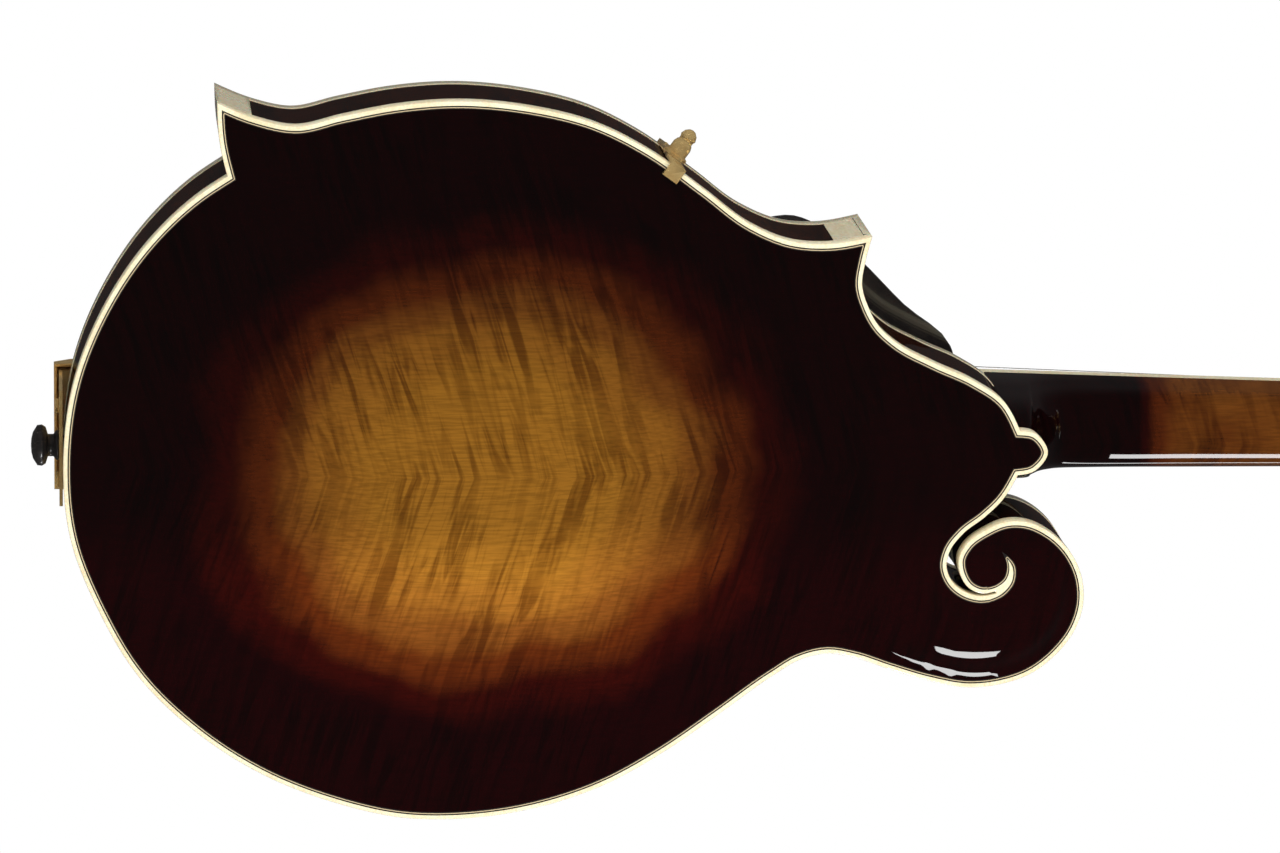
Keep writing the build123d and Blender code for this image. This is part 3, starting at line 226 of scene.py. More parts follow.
class Net:
    """The node tree of a material or a world, filled through a single node method.

    Args:
        owner: the new material or world that holds the tree.
    """

    def __init__(self, owner: bpy.types.Material | bpy.types.World) -> None:
        """Empty the owner's tree."""
        self.owner = owner
        owner.use_nodes = True
        self.tree = owner.node_tree
        self.tree.nodes.clear()

    @classmethod
    def of_material(cls, name: str) -> "Net":
        """The net of a new material."""
        return cls(bpy.data.materials.new(name))

    def node(
        self, kind: str, *values: Value, settings: dict | None = None, **inputs: Value,
    ) -> bpy.types.Node:
        """Add a node, its settings first.

        Args:
            kind: node type.
            values: values or signals for the first sockets, in order; None leaves a socket alone.
            settings: properties of the node, and a colour ramp's stops.
            inputs: values or signals by socket name, with _ for a space.
        Returns:
            The new node.
        """
        made = self.tree.nodes.new(kind)
        for key, value in (settings or {}).items():
            if key == "stops":
                self._set_stops(made.color_ramp, value)
            else:
                setattr(made, key, value)
        for index, value in enumerate(values):
            self._feed(made.inputs[index], value)
        for key, value in inputs.items():
            self._feed(made.inputs[key.replace("_", " ")], value)
        return made

    @staticmethod
    def _set_stops(ramp: bpy.types.ColorRamp, stops: Stops) -> None:
        """Give a colour ramp its stops, eased from one to the next."""
        ramp.interpolation = "EASE"
        while len(ramp.elements) < len(stops):
            ramp.elements.new(1.0)
        for point, (at, colour) in zip(ramp.elements, stops):
            point.position = at
            point.color = (*colour, 1.0)

    def _feed(self, socket: bpy.types.NodeSocket, value: Value) -> None:
        """Link a signal to a socket, or set the socket to a value."""
        if isinstance(value, Signal):
            self.tree.links.new(value.socket, socket)
        elif value is not None:
            socket.default_value = value

    def math(self, operation: str, *values: Value) -> Signal:
        """A Math node's result."""
        made = self.node("ShaderNodeMath", *values, settings={"operation": operation})
        return Signal(self, made.outputs[0])

    def place(self) -> tuple[Signal, Signal, Signal]:
        """Object coordinates, in metres along the object's own axes."""
        where = Signal(self, self.node("ShaderNodeTexCoord").outputs["Object"])
        split = self.node("ShaderNodeSeparateXYZ", where)
        return tuple(Signal(self, split.outputs[k]) for k in range(3))

    def vector(self, x: Value, y: Value, z: Value) -> Signal:
        """Three values joined to a vector."""
        return Signal(self, self.node("ShaderNodeCombineXYZ", x, y, z).outputs[0])

    def noise(self, where: Signal, scale: float, detail: float = 2.0, distortion: float = 0.0) -> Signal:
        """Smooth noise between 0 and 1."""
        made = self.node(
            "ShaderNodeTexNoise", Vector=where, Scale=scale, Detail=detail, Distortion=distortion,
        )
        return Signal(self, made.outputs[0])

    def ramp(self, value: Signal, stops: Stops) -> Signal:
        """Colour that follows a value through (place, colour) stops."""
        made = self.node("ShaderNodeValToRGB", value, settings={"stops": stops})
        return Signal(self, made.outputs[0])

    def span(self, value: Signal, low: float, high: float, start: float, stop: float) -> Signal:
        """Map low..high smoothly to start..stop, held at both ends."""
        settings = {"interpolation_type": "SMOOTHSTEP"}
        made = self.node("ShaderNodeMapRange", value, low, high, start, stop, settings=settings)
        return Signal(self, made.outputs[0])

    def mix(self, share: Value, first: Value, second: Value, blend: str = "MIX") -> Signal:
        """Colours mixed by a share; plain tuples are colours."""
        settings = {"data_type": "RGBA", "blend_type": blend}
        made = self.node("ShaderNodeMix", share, settings=settings)
        for socket, value in ((made.inputs[6], first), (made.inputs[7], second)):
            self._feed(socket, (*value, 1.0) if isinstance(value, tuple) else value)
        return Signal(self, made.outputs[2])

    def grey(self, value: Signal) -> Signal:
        """A value as a neutral colour."""
        return Signal(self, self.node("ShaderNodeCombineColor", value, value, value).outputs[0])

    def bump(self, height: Signal, depth: float) -> Signal:
        """Surface normal for a height field, depth in metres."""
        made = self.node("ShaderNodeBump", Strength=1.0, Distance=depth, Height=height)
        return Signal(self, made.outputs[0])

    def surface(self, **inputs: Value) -> bpy.types.Material:
        """Finish the material with one surface shader."""
        shader = self.node("ShaderNodeBsdfPrincipled", **inputs)
        self.node("ShaderNodeOutputMaterial", Surface=Signal(self, shader.outputs[0]))
        return self.owner


# ---------------------------------------------------------------- finishes
@dataclass(frozen=True)
class BurstWood:
    """Flamed or straight-grained wood under shaded high-gloss lacquer.

    The glow is an ellipse on the body's middle and a second one along the neck; stops are colours by
    distance from its centre, as shares of reach times the ellipse's radii.
    """

    name: str
    stops: tuple[tuple[float, Colour], ...]
    centre: tuple[float, float] = (-0.004, 0.148)
    radii: tuple[float, float] = (0.083, 0.098)
    reach: float = 1.7
    flame: float = 0.66
    flame_pitch: float = 0.0036
    chevron: float = 0.3
    seam: float = -0.0045
    flame_width: float = 0.034
    flame_depth: float = 0.02
    flame_tint: Colour = (0.22, 0.12, 0.06)
    patch_scale: float = 34.0
    grain_pitch: float = 0.0007
    grain_length: float = 0.011
    cloud_scale: float = 26.0
    unevenness: float = 0.30
    # painted light and shade: the colour is brightened towards the bass side and dimmed towards the treble
    # side, as the softboxes light it
    bass_gain: float = 1.9
    bass_edges: tuple[float, float] = (-0.048, -0.016)
    treble_gain: float = 0.8
    treble_edge: float = 0.06
    relief: float = 0.00004
    coat: float = 1.0
    shaft_middle: float = 0.459
    shaft_half: float = 0.085
    shaft_depth: float = 0.76
    shaft_power: float = 14.0

    def material(self) -> bpy.types.Material:
        """Build the node material."""
        net = Net.of_material(self.name)
        x, y, z = net.place()
        above = z - BODY_TAIL * MM
        broad = net.noise(net.vector(x, y, z), self.cloud_scale, 3.0)
        across = (x - self.centre[0]) / self.radii[0]
        along = (above - self.centre[1]) / self.radii[1]
        body = (across * across + along * along) ** 0.5
        shaft = abs(above - self.shaft_middle) / self.shaft_half
        neck = shaft ** self.shaft_power + self.shaft_depth
        distance = (body.least(neck) + (broad - 0.5) * self.unevenness) / self.reach
        colour = net.ramp(distance, self.stops)
        # painted light: multiply the colour by a side-to-side ramp, lit on the bass side and shaded on the
        # treble side
        outer, inner = self.bass_edges
        painted_bass_light = net.span(x, outer, inner, self.bass_gain, 1.0)
        painted_side_light = painted_bass_light * net.span(x, inner, self.treble_edge, 1.0, self.treble_gain)
        colour = net.mix(1.0, colour, net.grey(painted_side_light / self.bass_gain), "MULTIPLY")
        mirrored = abs(x - self.seam)
        run = above + mirrored * self.chevron
        figure_place = net.vector(run / self.flame_pitch, x / self.flame_width, y / self.flame_depth)
        stripes = net.noise(figure_place, 1.0, 2.5, 0.9)
        patches = net.span(net.noise(net.vector(x, y, z), self.patch_scale, 1.0), 0.35, 0.62, 0.35, 1.0)
        curl = net.span(stripes, 0.40, 0.66, 0.0, 1.0) * patches
        colour = net.mix(curl * self.flame, colour, self.flame_tint, "MULTIPLY")
        pore_place = net.vector(x / self.grain_pitch, y / self.grain_pitch, z / self.grain_length)
        pores = net.noise(pore_place, 1.0, 2.0)
        grain = net.span(pores, 0.3, 0.75, 1.12, 0.80)
        colour = net.mix(1.0, colour, net.grey(grain), "MULTIPLY")
        figure = net.bump(pores * 0.4 + stripes, self.relief)
        rough = net.span(stripes, 0.3, 0.7, 0.34, 0.48)
        return net.surface(
            Base_Color=colour, Roughness=rough, Normal=figure, Coat_Weight=self.coat, Coat_Roughness=0.025,
            Coat_IOR=1.5, Specular_IOR_Level=0.0,
        )


@dataclass(frozen=True)
class PlainWood:
    """Straight-grained wood in two tones, polished by the share of coat."""

    name: str
    light: Colour
    dark: Colour
    pitch: float = 0.0008
    roughness: float = 0.5
    coat: float = 0.0

    def material(self) -> bpy.types.Material:
        """Build the node material."""
        net = Net.of_material(self.name)
        x, y, z = net.place()
        lines = net.noise(net.vector(x / self.pitch, y / self.pitch, z / 0.02), 1.0, 3.0, 0.3)
        colour = net.mix(net.span(lines, 0.35, 0.7, 0.0, 1.0), self.light, self.dark)
        rough = net.span(lines, 0.3, 0.7, self.roughness - 0.08, self.roughness + 0.08)
        return net.surface(
            Base_Color=colour, Roughness=rough, Normal=net.bump(lines, 0.00002), Coat_Weight=self.coat,
            Coat_Roughness=0.08,
        )


@dataclass(frozen=True)
class Celluloid:
    """Sheet plastic or bone with faint lengthwise streaks and a polish."""

    name: str
    light: Colour
    warm: Colour
    roughness: float = 0.3
    coat: float = 1.0
    subsurface: float = 0.0

    def material(self) -> bpy.types.Material:
        """Build the node material."""
        net = Net.of_material(self.name)
        x, y, z = net.place()
        streaks = net.noise(net.vector(x / 0.0009, y / 0.004, z / 0.0009), 1.0, 2.0, 0.4)
        cloud = net.noise(net.vector(x, y, z), 90.0, 3.0)
        share = net.span(streaks * 0.5 + cloud * 0.5, 0.38, 0.64, 0.0, 1.0)
        colour = net.mix(share, self.light, self.warm)
        rough = net.span(cloud, 0.3, 0.7, self.roughness - 0.05, self.roughness + 0.06)
        return net.surface(
            Base_Color=colour, Roughness=rough, Coat_Weight=self.coat, Coat_Roughness=0.05,
            Subsurface_Weight=self.subsurface, Subsurface_Scale=0.0008,
        )


@dataclass(frozen=True)
class LayeredStrip:
    """Black, ivory and black layers, laid out by the mesh's across attribute."""

    name: str
    black: Colour = (0.006, 0.004, 0.003)
    ivory: Colour = (0.50, 0.40, 0.24)
    start: float = 0.40
    stop: float = 0.66
    softness: float = 0.05
    wander: float = 0.12
    wander_scale: float = 900.0

    def material(self) -> bpy.types.Material:
        """Build the node material."""
        net = Net.of_material(self.name)
        x, y, z = net.place()
        made = net.node("ShaderNodeAttribute", settings={"attribute_name": "across"})
        across = Signal(net, made.outputs["Fac"])
        noise = net.noise(net.vector(x, y, z), self.wander_scale, 1.0)
        place = across + (noise - 0.5) * self.wander
        rising = net.span(place, self.start - self.softness, self.start + self.softness, 0.0, 1.0)
        falling = net.span(place, self.stop - self.softness, self.stop + self.softness, 1.0, 0.0)
        colour = net.mix(rising * falling, self.black, self.ivory)
        rough = net.span(place, 0.0, 1.0, 0.3, 0.4)
        return net.surface(Base_Color=colour, Roughness=rough, Coat_Weight=1.0, Coat_Roughness=0.03)


@dataclass(frozen=True)
class Metal:
    """Plated, turned or drawn metal with faint smudges; winding puts a round wire's ridges along Z."""

    name: str
    colour: Colour
    tint: Colour
    roughness: float = 0.16
    winding: float = 0.0
    metallic: float = 1.0

    def material(self) -> bpy.types.Material:
        """Build the node material."""
        net = Net.of_material(self.name)
        x, y, z = net.place()
        smudge = net.noise(net.vector(x, y, z), 160.0, 4.0, 0.6)
        fine = net.noise(net.vector(x, y, z), 2200.0, 2.0)
        colour = net.mix(net.span(smudge, 0.35, 0.7, 0.0, 1.0), self.colour, self.tint)
        rough = net.span(smudge, 0.3, 0.72, self.roughness * 0.6, self.roughness * 1.5)
        if self.winding:
            ridges = net.math("SINE", z * (2.0 * math.pi / self.winding))
            normal = net.bump(ridges, self.winding * 0.2)
        else:
            normal = net.bump(fine, 0.000004)
        return net.surface(Base_Color=colour, Metallic=self.metallic, Roughness=rough, Normal=normal)


@dataclass(frozen=True)
class Shell:
    """Mother of pearl: cool and warm clouds that shift in bands."""

    name: str
    cool: Colour = (0.66, 0.74, 0.76)
    warm: Colour = (0.86, 0.78, 0.72)

    def material(self) -> bpy.types.Material:
        """Build the node material."""
        net = Net.of_material(self.name)
        x, y, z = net.place()
        bands = net.noise(net.vector(x / 0.003, y / 0.006, z / 0.0016), 1.0, 3.0, 1.4)
        colour = net.mix(net.span(bands, 0.36, 0.66, 0.0, 1.0), self.cool, self.warm)
        rough = net.span(bands, 0.3, 0.7, 0.14, 0.32)
        return net.surface(
            Base_Color=colour, Roughness=rough, Coat_Weight=1.0, Coat_Roughness=0.04, Sheen_Weight=0.1,
        )


BACK_STOPS = (
    (0.00, (0.370, 0.155, 0.0160)), (0.235, (0.350, 0.145, 0.0150)), (0.34, (0.290, 0.110, 0.0128)),
    (0.42, (0.175, 0.054, 0.0075)), (0.49, (0.088, 0.016, 0.0022)), (0.575, (0.023, 0.0011, 0.0004)),
    (0.67, (0.0066, 0.0001, 0.0003)),
)
TOP_STOPS = (
    (0.00, (0.620, 0.300, 0.050)), (0.26, (0.520, 0.220, 0.030)), (0.42, (0.300, 0.095, 0.010)),
    (0.56, (0.120, 0.026, 0.003)), (0.68, (0.030, 0.0045, 0.0006)), (0.84, (0.0065, 0.0007, 0.0003)),
)
RIB_STOPS = (
    (0.00, (0.090, 0.034, 0.006)), (0.30, (0.070, 0.024, 0.004)), (0.62, (0.050, 0.014, 0.0020)),
    (0.80, (0.038, 0.009, 0.0014)), (0.92, (0.024, 0.004, 0.0008)), (1.00, (0.018, 0.003, 0.0007)),
)
GOLD = (0.93, 0.66, 0.28)
GOLD_SHADE = (0.80, 0.50, 0.18)
RIB_FINISH = "side"


def palette() -> dict[str, bpy.types.Material]:
    """Make every material once.

    Returns:
        Materials by slot name, and the ribs' own shade of flamed maple under RIB_FINISH.
    """
    finishes = (
        BurstWood(Slot.FLAMED_MAPLE.value, BACK_STOPS),
        BurstWood(Slot.SPRUCE_TOP.value, TOP_STOPS, flame=0.06, grain_pitch=0.0011),
        BurstWood(RIB_FINISH, RIB_STOPS, flame=0.8, chevron=0.0, flame_pitch=0.005, coat=0.4),
        PlainWood(Slot.INNER_WOOD.value, (0.62, 0.44, 0.26), (0.50, 0.33, 0.18)),
        PlainWood(Slot.EBONY.value, (0.016, 0.013, 0.012), (0.007, 0.006, 0.006), roughness=0.34, coat=0.35),
        Celluloid(Slot.IVOROID.value, (0.80, 0.73, 0.52), (0.70, 0.60, 0.38), subsurface=0.15),
        Celluloid(Slot.BONE.value, (0.80, 0.75, 0.62), (0.72, 0.64, 0.48), subsurface=0.2),
        Celluloid(Slot.BLACK_PLATE.value, (0.008, 0.007, 0.007), (0.014, 0.011, 0.010), roughness=0.2),
        LayeredStrip(Slot.PURFLING.value),
        Metal(Slot.GOLD_PLATE.value, GOLD, GOLD_SHADE, metallic=0.75),
        Metal(Slot.GOLD_TUNER.value, GOLD, GOLD_SHADE, roughness=0.2, metallic=0.75),
        Metal(Slot.BRASS.value, (0.80, 0.60, 0.28), (0.66, 0.46, 0.18), roughness=0.28),
        Metal(Slot.STEEL_ROD.value, (0.50, 0.50, 0.50), (0.38, 0.37, 0.36), roughness=0.35),
        Metal(Slot.FRET_WIRE.value, (0.74, 0.73, 0.70), (0.62, 0.60, 0.56), roughness=0.18),
        Metal(Slot.PLAIN_STEEL.value, (0.66, 0.66, 0.66), (0.52, 0.52, 0.52), roughness=0.2),
        Metal(
            Slot.BRONZE_WOUND.value, (0.74, 0.50, 0.30), (0.60, 0.38, 0.20), roughness=0.25, winding=0.0004,
        ),
        Shell(Slot.PEARL.value),
    )
    return {finish.name: finish.material() for finish in finishes}


# ---------------------------------------------------------------- outlines and surfaces
def through(points: Sequence[Sequence[float]], per_span: int = 10) -> np.ndarray:
    """Smooth curve through points: cubic spans whose end slopes are the mean of their neighbours' chords.

    Args:
        points: the knots, each with two or more coordinates.
        per_span: samples from one knot to the next.
    Returns:
        The sampled curve, with both end points.
    """
    knots = np.array(points, dtype=float)
    chord = np.linalg.norm(np.diff(knots, axis=0), axis=1)
    slope = np.diff(knots, axis=0) / chord[:, None]
    inner = (slope[:-1] * chord[1:, None] + slope[1:] * chord[:-1, None]) / (chord[:-1] + chord[1:])[:, None]
    tangent = np.vstack([1.5 * slope[0] - 0.5 * inner[0], inner, 1.5 * slope[-1] - 0.5 * inner[-1]])
    t = np.arange(per_span)[:, None] / per_span
    spans = []
    for k, length in enumerate(chord):
        start, stop = knots[k], knots[k + 1]
        leave, arrive = tangent[k] * length, tangent[k + 1] * length
        curve = start * (2 * t**3 - 3 * t**2 + 1) + leave * (t**3 - 2 * t**2 + t)
        spans.append(curve + stop * (3 * t**2 - 2 * t**3) + arrive * (t**3 - t**2))
    return np.vstack(spans + [knots[-1:]])


def distance_to(points: np.ndarray, line: np.ndarray, closed: bool = True) -> tuple[np.ndarray, np.ndarray]:
    """Distance from each point to the nearest edge of a line.

    Args:
        points: the points, as rows.
        line: the line's vertices, as rows.
        closed: whether the last vertex joins the first.
    Returns:
        Distances, and where along the line the nearest place is, in vertices.
    """
    starts = line if closed else line[:-1]
    step = (np.roll(line, -1, axis=0) - line)[: len(starts)]
    best = np.full(len(points), np.inf)
    where = np.zeros(len(points))
    for index, (origin, edge) in enumerate(zip(starts, step)):
        share = np.clip((points - origin) @ edge / max(edge @ edge, 1e-9), 0.0, 1.0)
        gap = np.linalg.norm(points - origin - share[:, None] * edge, axis=1)
        nearer = gap < best
        best[nearer] = gap[nearer]
        where[nearer] = index + share[nearer]
    return best, where


def moved_in(loop: np.ndarray, amount: float, longest: float = 8.0) -> np.ndarray:
    """Move each vertex of a counterclockwise loop inwards, along the bisector of its two edges.

    Args:
        loop: the vertices, as rows.
        amount: distance between old and new edges.
        longest: most that a vertex may move, as a multiple of amount.
    Returns:
        As many vertices as the loop has.
    """
    forward = np.roll(loop, -1, axis=0) - loop
    forward = forward / np.linalg.norm(forward, axis=1)[:, None]
    normal = np.stack([-forward[:, 1], forward[:, 0]], axis=1)
    before = np.roll(normal, 1, axis=0)
    miter = (before + normal) / np.maximum(1.0 + np.sum(before * normal, axis=1), 1e-3)[:, None]
    size = np.linalg.norm(miter, axis=1)[:, None]
    return loop + amount * miter * np.minimum(1.0, longest / size)


@dataclass
class Outline:
    """The body's edge and the insets that its trim follows, as (across, above the tail)."""

    per_span: int = 10
    slack: float = 0.04
    edge: np.ndarray = field(init=False)
    core: np.ndarray = field(init=False)
    plate: np.ndarray = field(init=False)
    slot_index: int = field(init=False)

    def __post_init__(self) -> None:
        """Sample the edge and work out the insets."""
        near = [through(part, self.per_span) for part in (TREBLE_BOUT, SHOULDER, HEEL_BUTTON, SLOT_BODY_SIDE)]
        far = [through(part, self.per_span) for part in (SCROLL_AND_WAIST, LOWER_POINT)]
        before = [part[:-1] for part in near[:3]] + [near[3]]
        self.slot_index = sum(len(part) for part in before)
        self.edge = np.vstack(before + [[SLOT_END]] + [part[:-1] for part in far])
        self.core = self.inset(BINDING, CURL_CORE_OUTSIDE, CURL_CORE_INSIDE)
        self.plate = self.inset(INLAY_EDGE, CURL_OUTSIDE, CURL_INSIDE)

    def inset(self, amount: float, outside: list, inside: list) -> np.ndarray:
        """Inset of the edge, with the slot's end swapped for the curl that runs on to its tip.

        Args:
            amount: distance from the edge.
            outside: the curl's outer side.
            inside: the curl's inner side, back from its tip.
        Returns:
            The inset loop.
        """
        moved = moved_in(self.edge, amount)
        clear = distance_to(moved, self.edge)[0] > amount - self.slack
        half = self.per_span // 2
        lead, rest = slice(None, self.slot_index - half), slice(self.slot_index + 1 + half, None)
        curl = np.vstack([through(outside, self.per_span), through(inside, self.per_span)[1:]])
        return np.vstack([moved[lead][clear[lead]], curl, moved[rest][clear[rest]]])


@dataclass
class Patch:
    """Points in millimetres, as rows of x, y, z, and the faces that join them."""

    points: np.ndarray
    faces: list[tuple[int, ...]]

    def __add__(self, other: "Patch") -> "Patch":
        """Both patches as one, points unshared."""
        first = len(self.points)
        joined = [tuple(first + index for index in face) for face in other.faces]
        return Patch(np.vstack([self.points, other.points]), self.faces + joined)

    def turned(self) -> "Patch":
        """The same faces, facing the other way."""
        return Patch(self.points, [face[::-1] for face in self.faces])


def placed(loop: np.ndarray, depth: np.ndarray | float) -> np.ndarray:
    """Points of the body's plan at a depth, in the object's frame."""
    return np.column_stack([loop[:, 0], np.broadcast_to(depth, len(loop)), loop[:, 1] + BODY_TAIL])


def filled(outer: np.ndarray, holes: Sequence[np.ndarray] = (), inner: np.ndarray | None = None) -> Patch:
    """Triangles between a loop and the holes in it, facing the soundboard side, at depth 0.

    Args:
        outer: counterclockwise loop.
        holes: counterclockwise loops to leave open.
        inner: further points to use inside.
    Returns:
        The flat patch, with above-the-tail heights turned into Z.
    """
    loops = [outer, *holes]
    flat = np.vstack(loops if inner is None else [*loops, inner])
    starts = np.cumsum([0] + [len(loop) for loop in loops])
    rings = [list(range(a, b)) for a, b in zip(starts[:-1], starts[1:])]
    points, _, faces, _, _, owners = delaunay_2d_cdt([Vector(p) for p in flat], [], rings, 1, 1e-7)
    kept = [tuple(face) for face, owner in zip(faces, owners) if list(owner) == [0]]
    return Patch(placed(np.array([tuple(p) for p in points]), 0.0), kept)


def walls(rings: Sequence[np.ndarray], closed: bool = False) -> Patch:
    """Quads between rings of as many points each, one after another.

    Args:
        rings: the rings, each as rows of x, y, z.
        closed: whether the last ring joins the first.
    Returns:
        The patch.
    """
    count = len(rings[0])
    steps = len(rings) if closed else len(rings) - 1
    faces = []
    for step in range(steps):
        low, high = step * count, (step + 1) % len(rings) * count
        for k in range(count):
            after = (k + 1) % count
            faces.append((low + k, low + after, high + after, high + k))
    return Patch(np.vstack(rings), faces)


def at_depth(patch: Patch, depth: np.ndarray | float) -> Patch:
    """The patch with its Y set to a depth."""
    points = patch.points.copy()
    points[:, 1] = depth
    return Patch(points, patch.faces)


# ---------------------------------------------------------------- sub-assemblies
@dataclass
class SubAssembly:
    """A group of pieces that are built and then dressed with their finishes."""

    finishes: dict[str, bpy.types.Material]
    pieces: list[tuple[bpy.types.Object, str]] = field(default_factory=list)
    crease: float = math.radians(32.0)

    def add_patch(
        self, name: str, patch: Patch, slot: Slot, body: str = "instrument", finish: str = "",
    ) -> bpy.types.Object:
        """Put a patch in the scene as one welded piece.

        Args:
            name: the piece's name.
            patch: its points and faces.
            slot: the record's slot.
            body: the CAD body that it rides on.
            finish: the finish's name, where it isn't the slot's.
        Returns:
            The new object.
        """
        mesh = bpy.data.meshes.new(name)
        mesh.from_pydata((patch.points * MM).tolist(), [], patch.faces)
        return self.add_mesh(name, mesh, slot.value, body, finish)

    def add_mesh(
        self, name: str, mesh: bpy.types.Mesh, slot: str, body: str, finish: str = "",
    ) -> bpy.types.Object:
        """Weld a mesh, shade it smooth up to the crease angle and add it as a piece.

        Args:
            name: the piece's name.
            mesh: its mesh, in metres.
            slot: the record's slot.
            body: the CAD body that it rides on, or nothing, which leaves the piece unattached.
            finish: the finish's name, where it isn't the slot's.
        Returns:
            The new object.
        """
        shape = bmesh.new()
        shape.from_mesh(mesh)
        bmesh.ops.remove_doubles(shape, verts=shape.verts, dist=WELD_DISTANCE * MM)
        bmesh.ops.dissolve_degenerate(shape, edges=shape.edges, dist=SHORTEST_EDGE * MM)
        shape.to_mesh(mesh)
        shape.free()
        mesh.shade_smooth()
        mesh.set_sharp_from_angle(angle=self.crease)
        piece = bpy.data.objects.new(name, mesh)
        bpy.context.scene.collection.objects.link(piece)
        if body:
            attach(piece, body)
        self.pieces.append((piece, finish or slot))
        return piece

    def dress(self) -> None:
        """Give every piece its material."""
        for piece, finish in self.pieces:
            piece.data.materials.clear()
            piece.data.materials.append(self.finishes[finish])


@dataclass
class Soundbox(SubAssembly):
    """Carved plates, ribs and their layered edge trim."""

    outline: Outline = field(default_factory=Outline)
    arch_height: float = 15.0
    arch_centre: float = 142.0
    arch_radius: float = 117.0
    fullness: float = 1.55
    run_out: float = 9.0
    swell_spread: float = 1.2
    scroll_start: float = 262.0
    scroll_run_in: float = 40.0
    grid: float = 2.0
    grid_clearance: float = 0.6
    rounding: float = 0.45
    arris: float = 0.3
    rib_faces: tuple[float, float] = (0.2, 2.2)
    eye_radii: tuple[float, float] = (3.6, 4.4)
    eye_places: tuple[tuple[float, float], ...] = ((47.0, 204.5), (63.5, 145.5))

    def rise(self, plan: np.ndarray, scroll: bool = True) -> np.ndarray:
        """Height of the carving over the plate's edge.

        The dome falls as (1 - (r / radius)^2)^fullness; the scroll's crest adds a swelling of the form
        (1 - (d / reach)^2)^2 on each side of it; both run out to nothing at the trim, as a smooth step.

        Args:
            plan: (across, above the tail) rows.
            scroll: whether the scroll's crest is carved.
        Returns:
            Heights in millimetres.
        """
        radius = np.hypot(plan[:, 0], plan[:, 1] - self.arch_centre)
        dome = self.arch_height * np.clip(1.0 - (radius / self.arch_radius) ** 2, 0.0, 1.0) ** self.fullness
        edge = np.clip(distance_to(plan, self.outline.plate)[0] / self.run_out, 0.0, 1.0)
        crest = through(SCROLL_CREST, 6)
        gap, where = distance_to(plan, crest[:, :2], closed=False)
        reach = np.interp(where, np.arange(len(crest)), crest[:, 2])
        top = np.interp(where, np.arange(len(crest)), crest[:, 3])
        swelling = top * np.clip(1.0 - (gap / (self.swell_spread * reach)) ** 2, 0.0, 1.0) ** 2
        tail_off = np.clip((plan[:, 1] - self.scroll_start) / self.scroll_run_in, 0.0, 1.0)
        swelling = swelling * tail_off * tail_off * (3.0 - 2.0 * tail_off)
        blend = edge * edge * (3.0 - 2.0 * edge)
        return dome * blend + (swelling * blend if scroll else 0.0)

    def f_holes(self) -> list[np.ndarray]:
        """Closed loops of both sound holes, each an S with round eyes."""
        turn = np.linspace(0.0, 2.0 * math.pi, 25)[:-1]
        slit = np.vstack([through(F_HOLE_OUTER, 6)[3:-3], through(F_HOLE_INNER, 6)[3:-3]])
        loops = []
        for side in (1, -1):
            parts = [slit * (side, 1)]
            for (x, z), radius in zip(self.eye_places, self.eye_radii):
                parts.append(np.column_stack([side * x + radius * np.cos(turn), z + radius * np.sin(turn)]))
            loops += [part if self.is_counterclockwise(part) else part[::-1] for part in parts]
        return loops

    @staticmethod
    def is_counterclockwise(loop: np.ndarray) -> bool:
        """Whether a loop turns left."""
        after = np.roll(loop, -1, axis=0)
        return float(np.sum(loop[:, 0] * after[:, 1] - after[:, 0] * loop[:, 1])) > 0.0

    def plate(self, holes: Sequence[np.ndarray], base: float, outward: int, scroll: bool) -> Patch:
        """A carved plate of even thickness, outer face in front or behind.

        Args:
            holes: loops cut through it.
            base: depth of its edge's outer face.
            outward: 1 for the back, -1 for the soundboard.
            scroll: whether the scroll's crest is carved.
        Returns:
            The closed patch.
        """
        loop = self.outline.plate
        spans = [np.arange(loop[:, k].min(), loop[:, k].max(), self.grid) for k in (0, 1)]
        net = np.stack(np.meshgrid(*spans), axis=-1).reshape(-1, 2)
        rings = [loop, *holes]
        gaps = np.min([distance_to(net, ring)[0] for ring in rings], axis=0)
        flat = filled(loop, holes, net[gaps > self.grid_clearance * self.grid])
        rise = self.rise(flat.points[:, [0, 2]] - (0.0, BODY_TAIL), scroll)
        outer = at_depth(flat, base + outward * rise)
        inner = at_depth(flat, base + outward * (rise - PLATE)).turned()
        sides = [self.lip(ring, base, outward, scroll) for ring in rings]
        whole = outer + inner + sides[0]
        for side in sides[1:]:
            whole = whole + side.turned()
        return whole.turned() if outward > 0 else whole

    def lip(self, ring: np.ndarray, base: float, outward: int, scroll: bool) -> Patch:
        """Wall through a plate along a ring."""
        rise = self.rise(ring, scroll)
        face = placed(ring, base + outward * rise)
        return walls([placed(ring, base + outward * (rise - PLATE)), face]).turned()

    def strip(
        self, outside: np.ndarray, inside: np.ndarray, face: float, depth: float, rounded: bool,
    ) -> Patch:
        """A closed strip between two loops.

        Args:
            outside: the outer loop.
            inside: the inner loop.
            face: depth of the visible face.
            depth: depth of the hidden face.
            rounded: whether the outer arris is eased.
        Returns:
            The closed patch.
        """
        toward = math.copysign(1.0, face - depth)
        levels = [(0.0, depth), (0.0, face)]
        if rounded:
            soft = self.rounding
            knee = self.arris * soft
            levels = [(0.0, depth), (0.0, face - soft * toward), (knee, face - knee * toward), (soft, face)]
        rims = [moved_in(outside, step, MITRE_LIMIT) if step else outside for step, _ in levels]
        outer = walls([placed(rim, level) for rim, (_, level) in zip(rims, levels)])
        top = at_depth(filled(rims[-1], [inside]), face)
        bottom = at_depth(filled(outside, [inside]), depth).turned()
        inner = walls([placed(inside, depth), placed(inside, face)]).turned()
        patch = outer.turned() + inner.turned() + top + bottom
        return patch.turned() if toward > 0 else patch

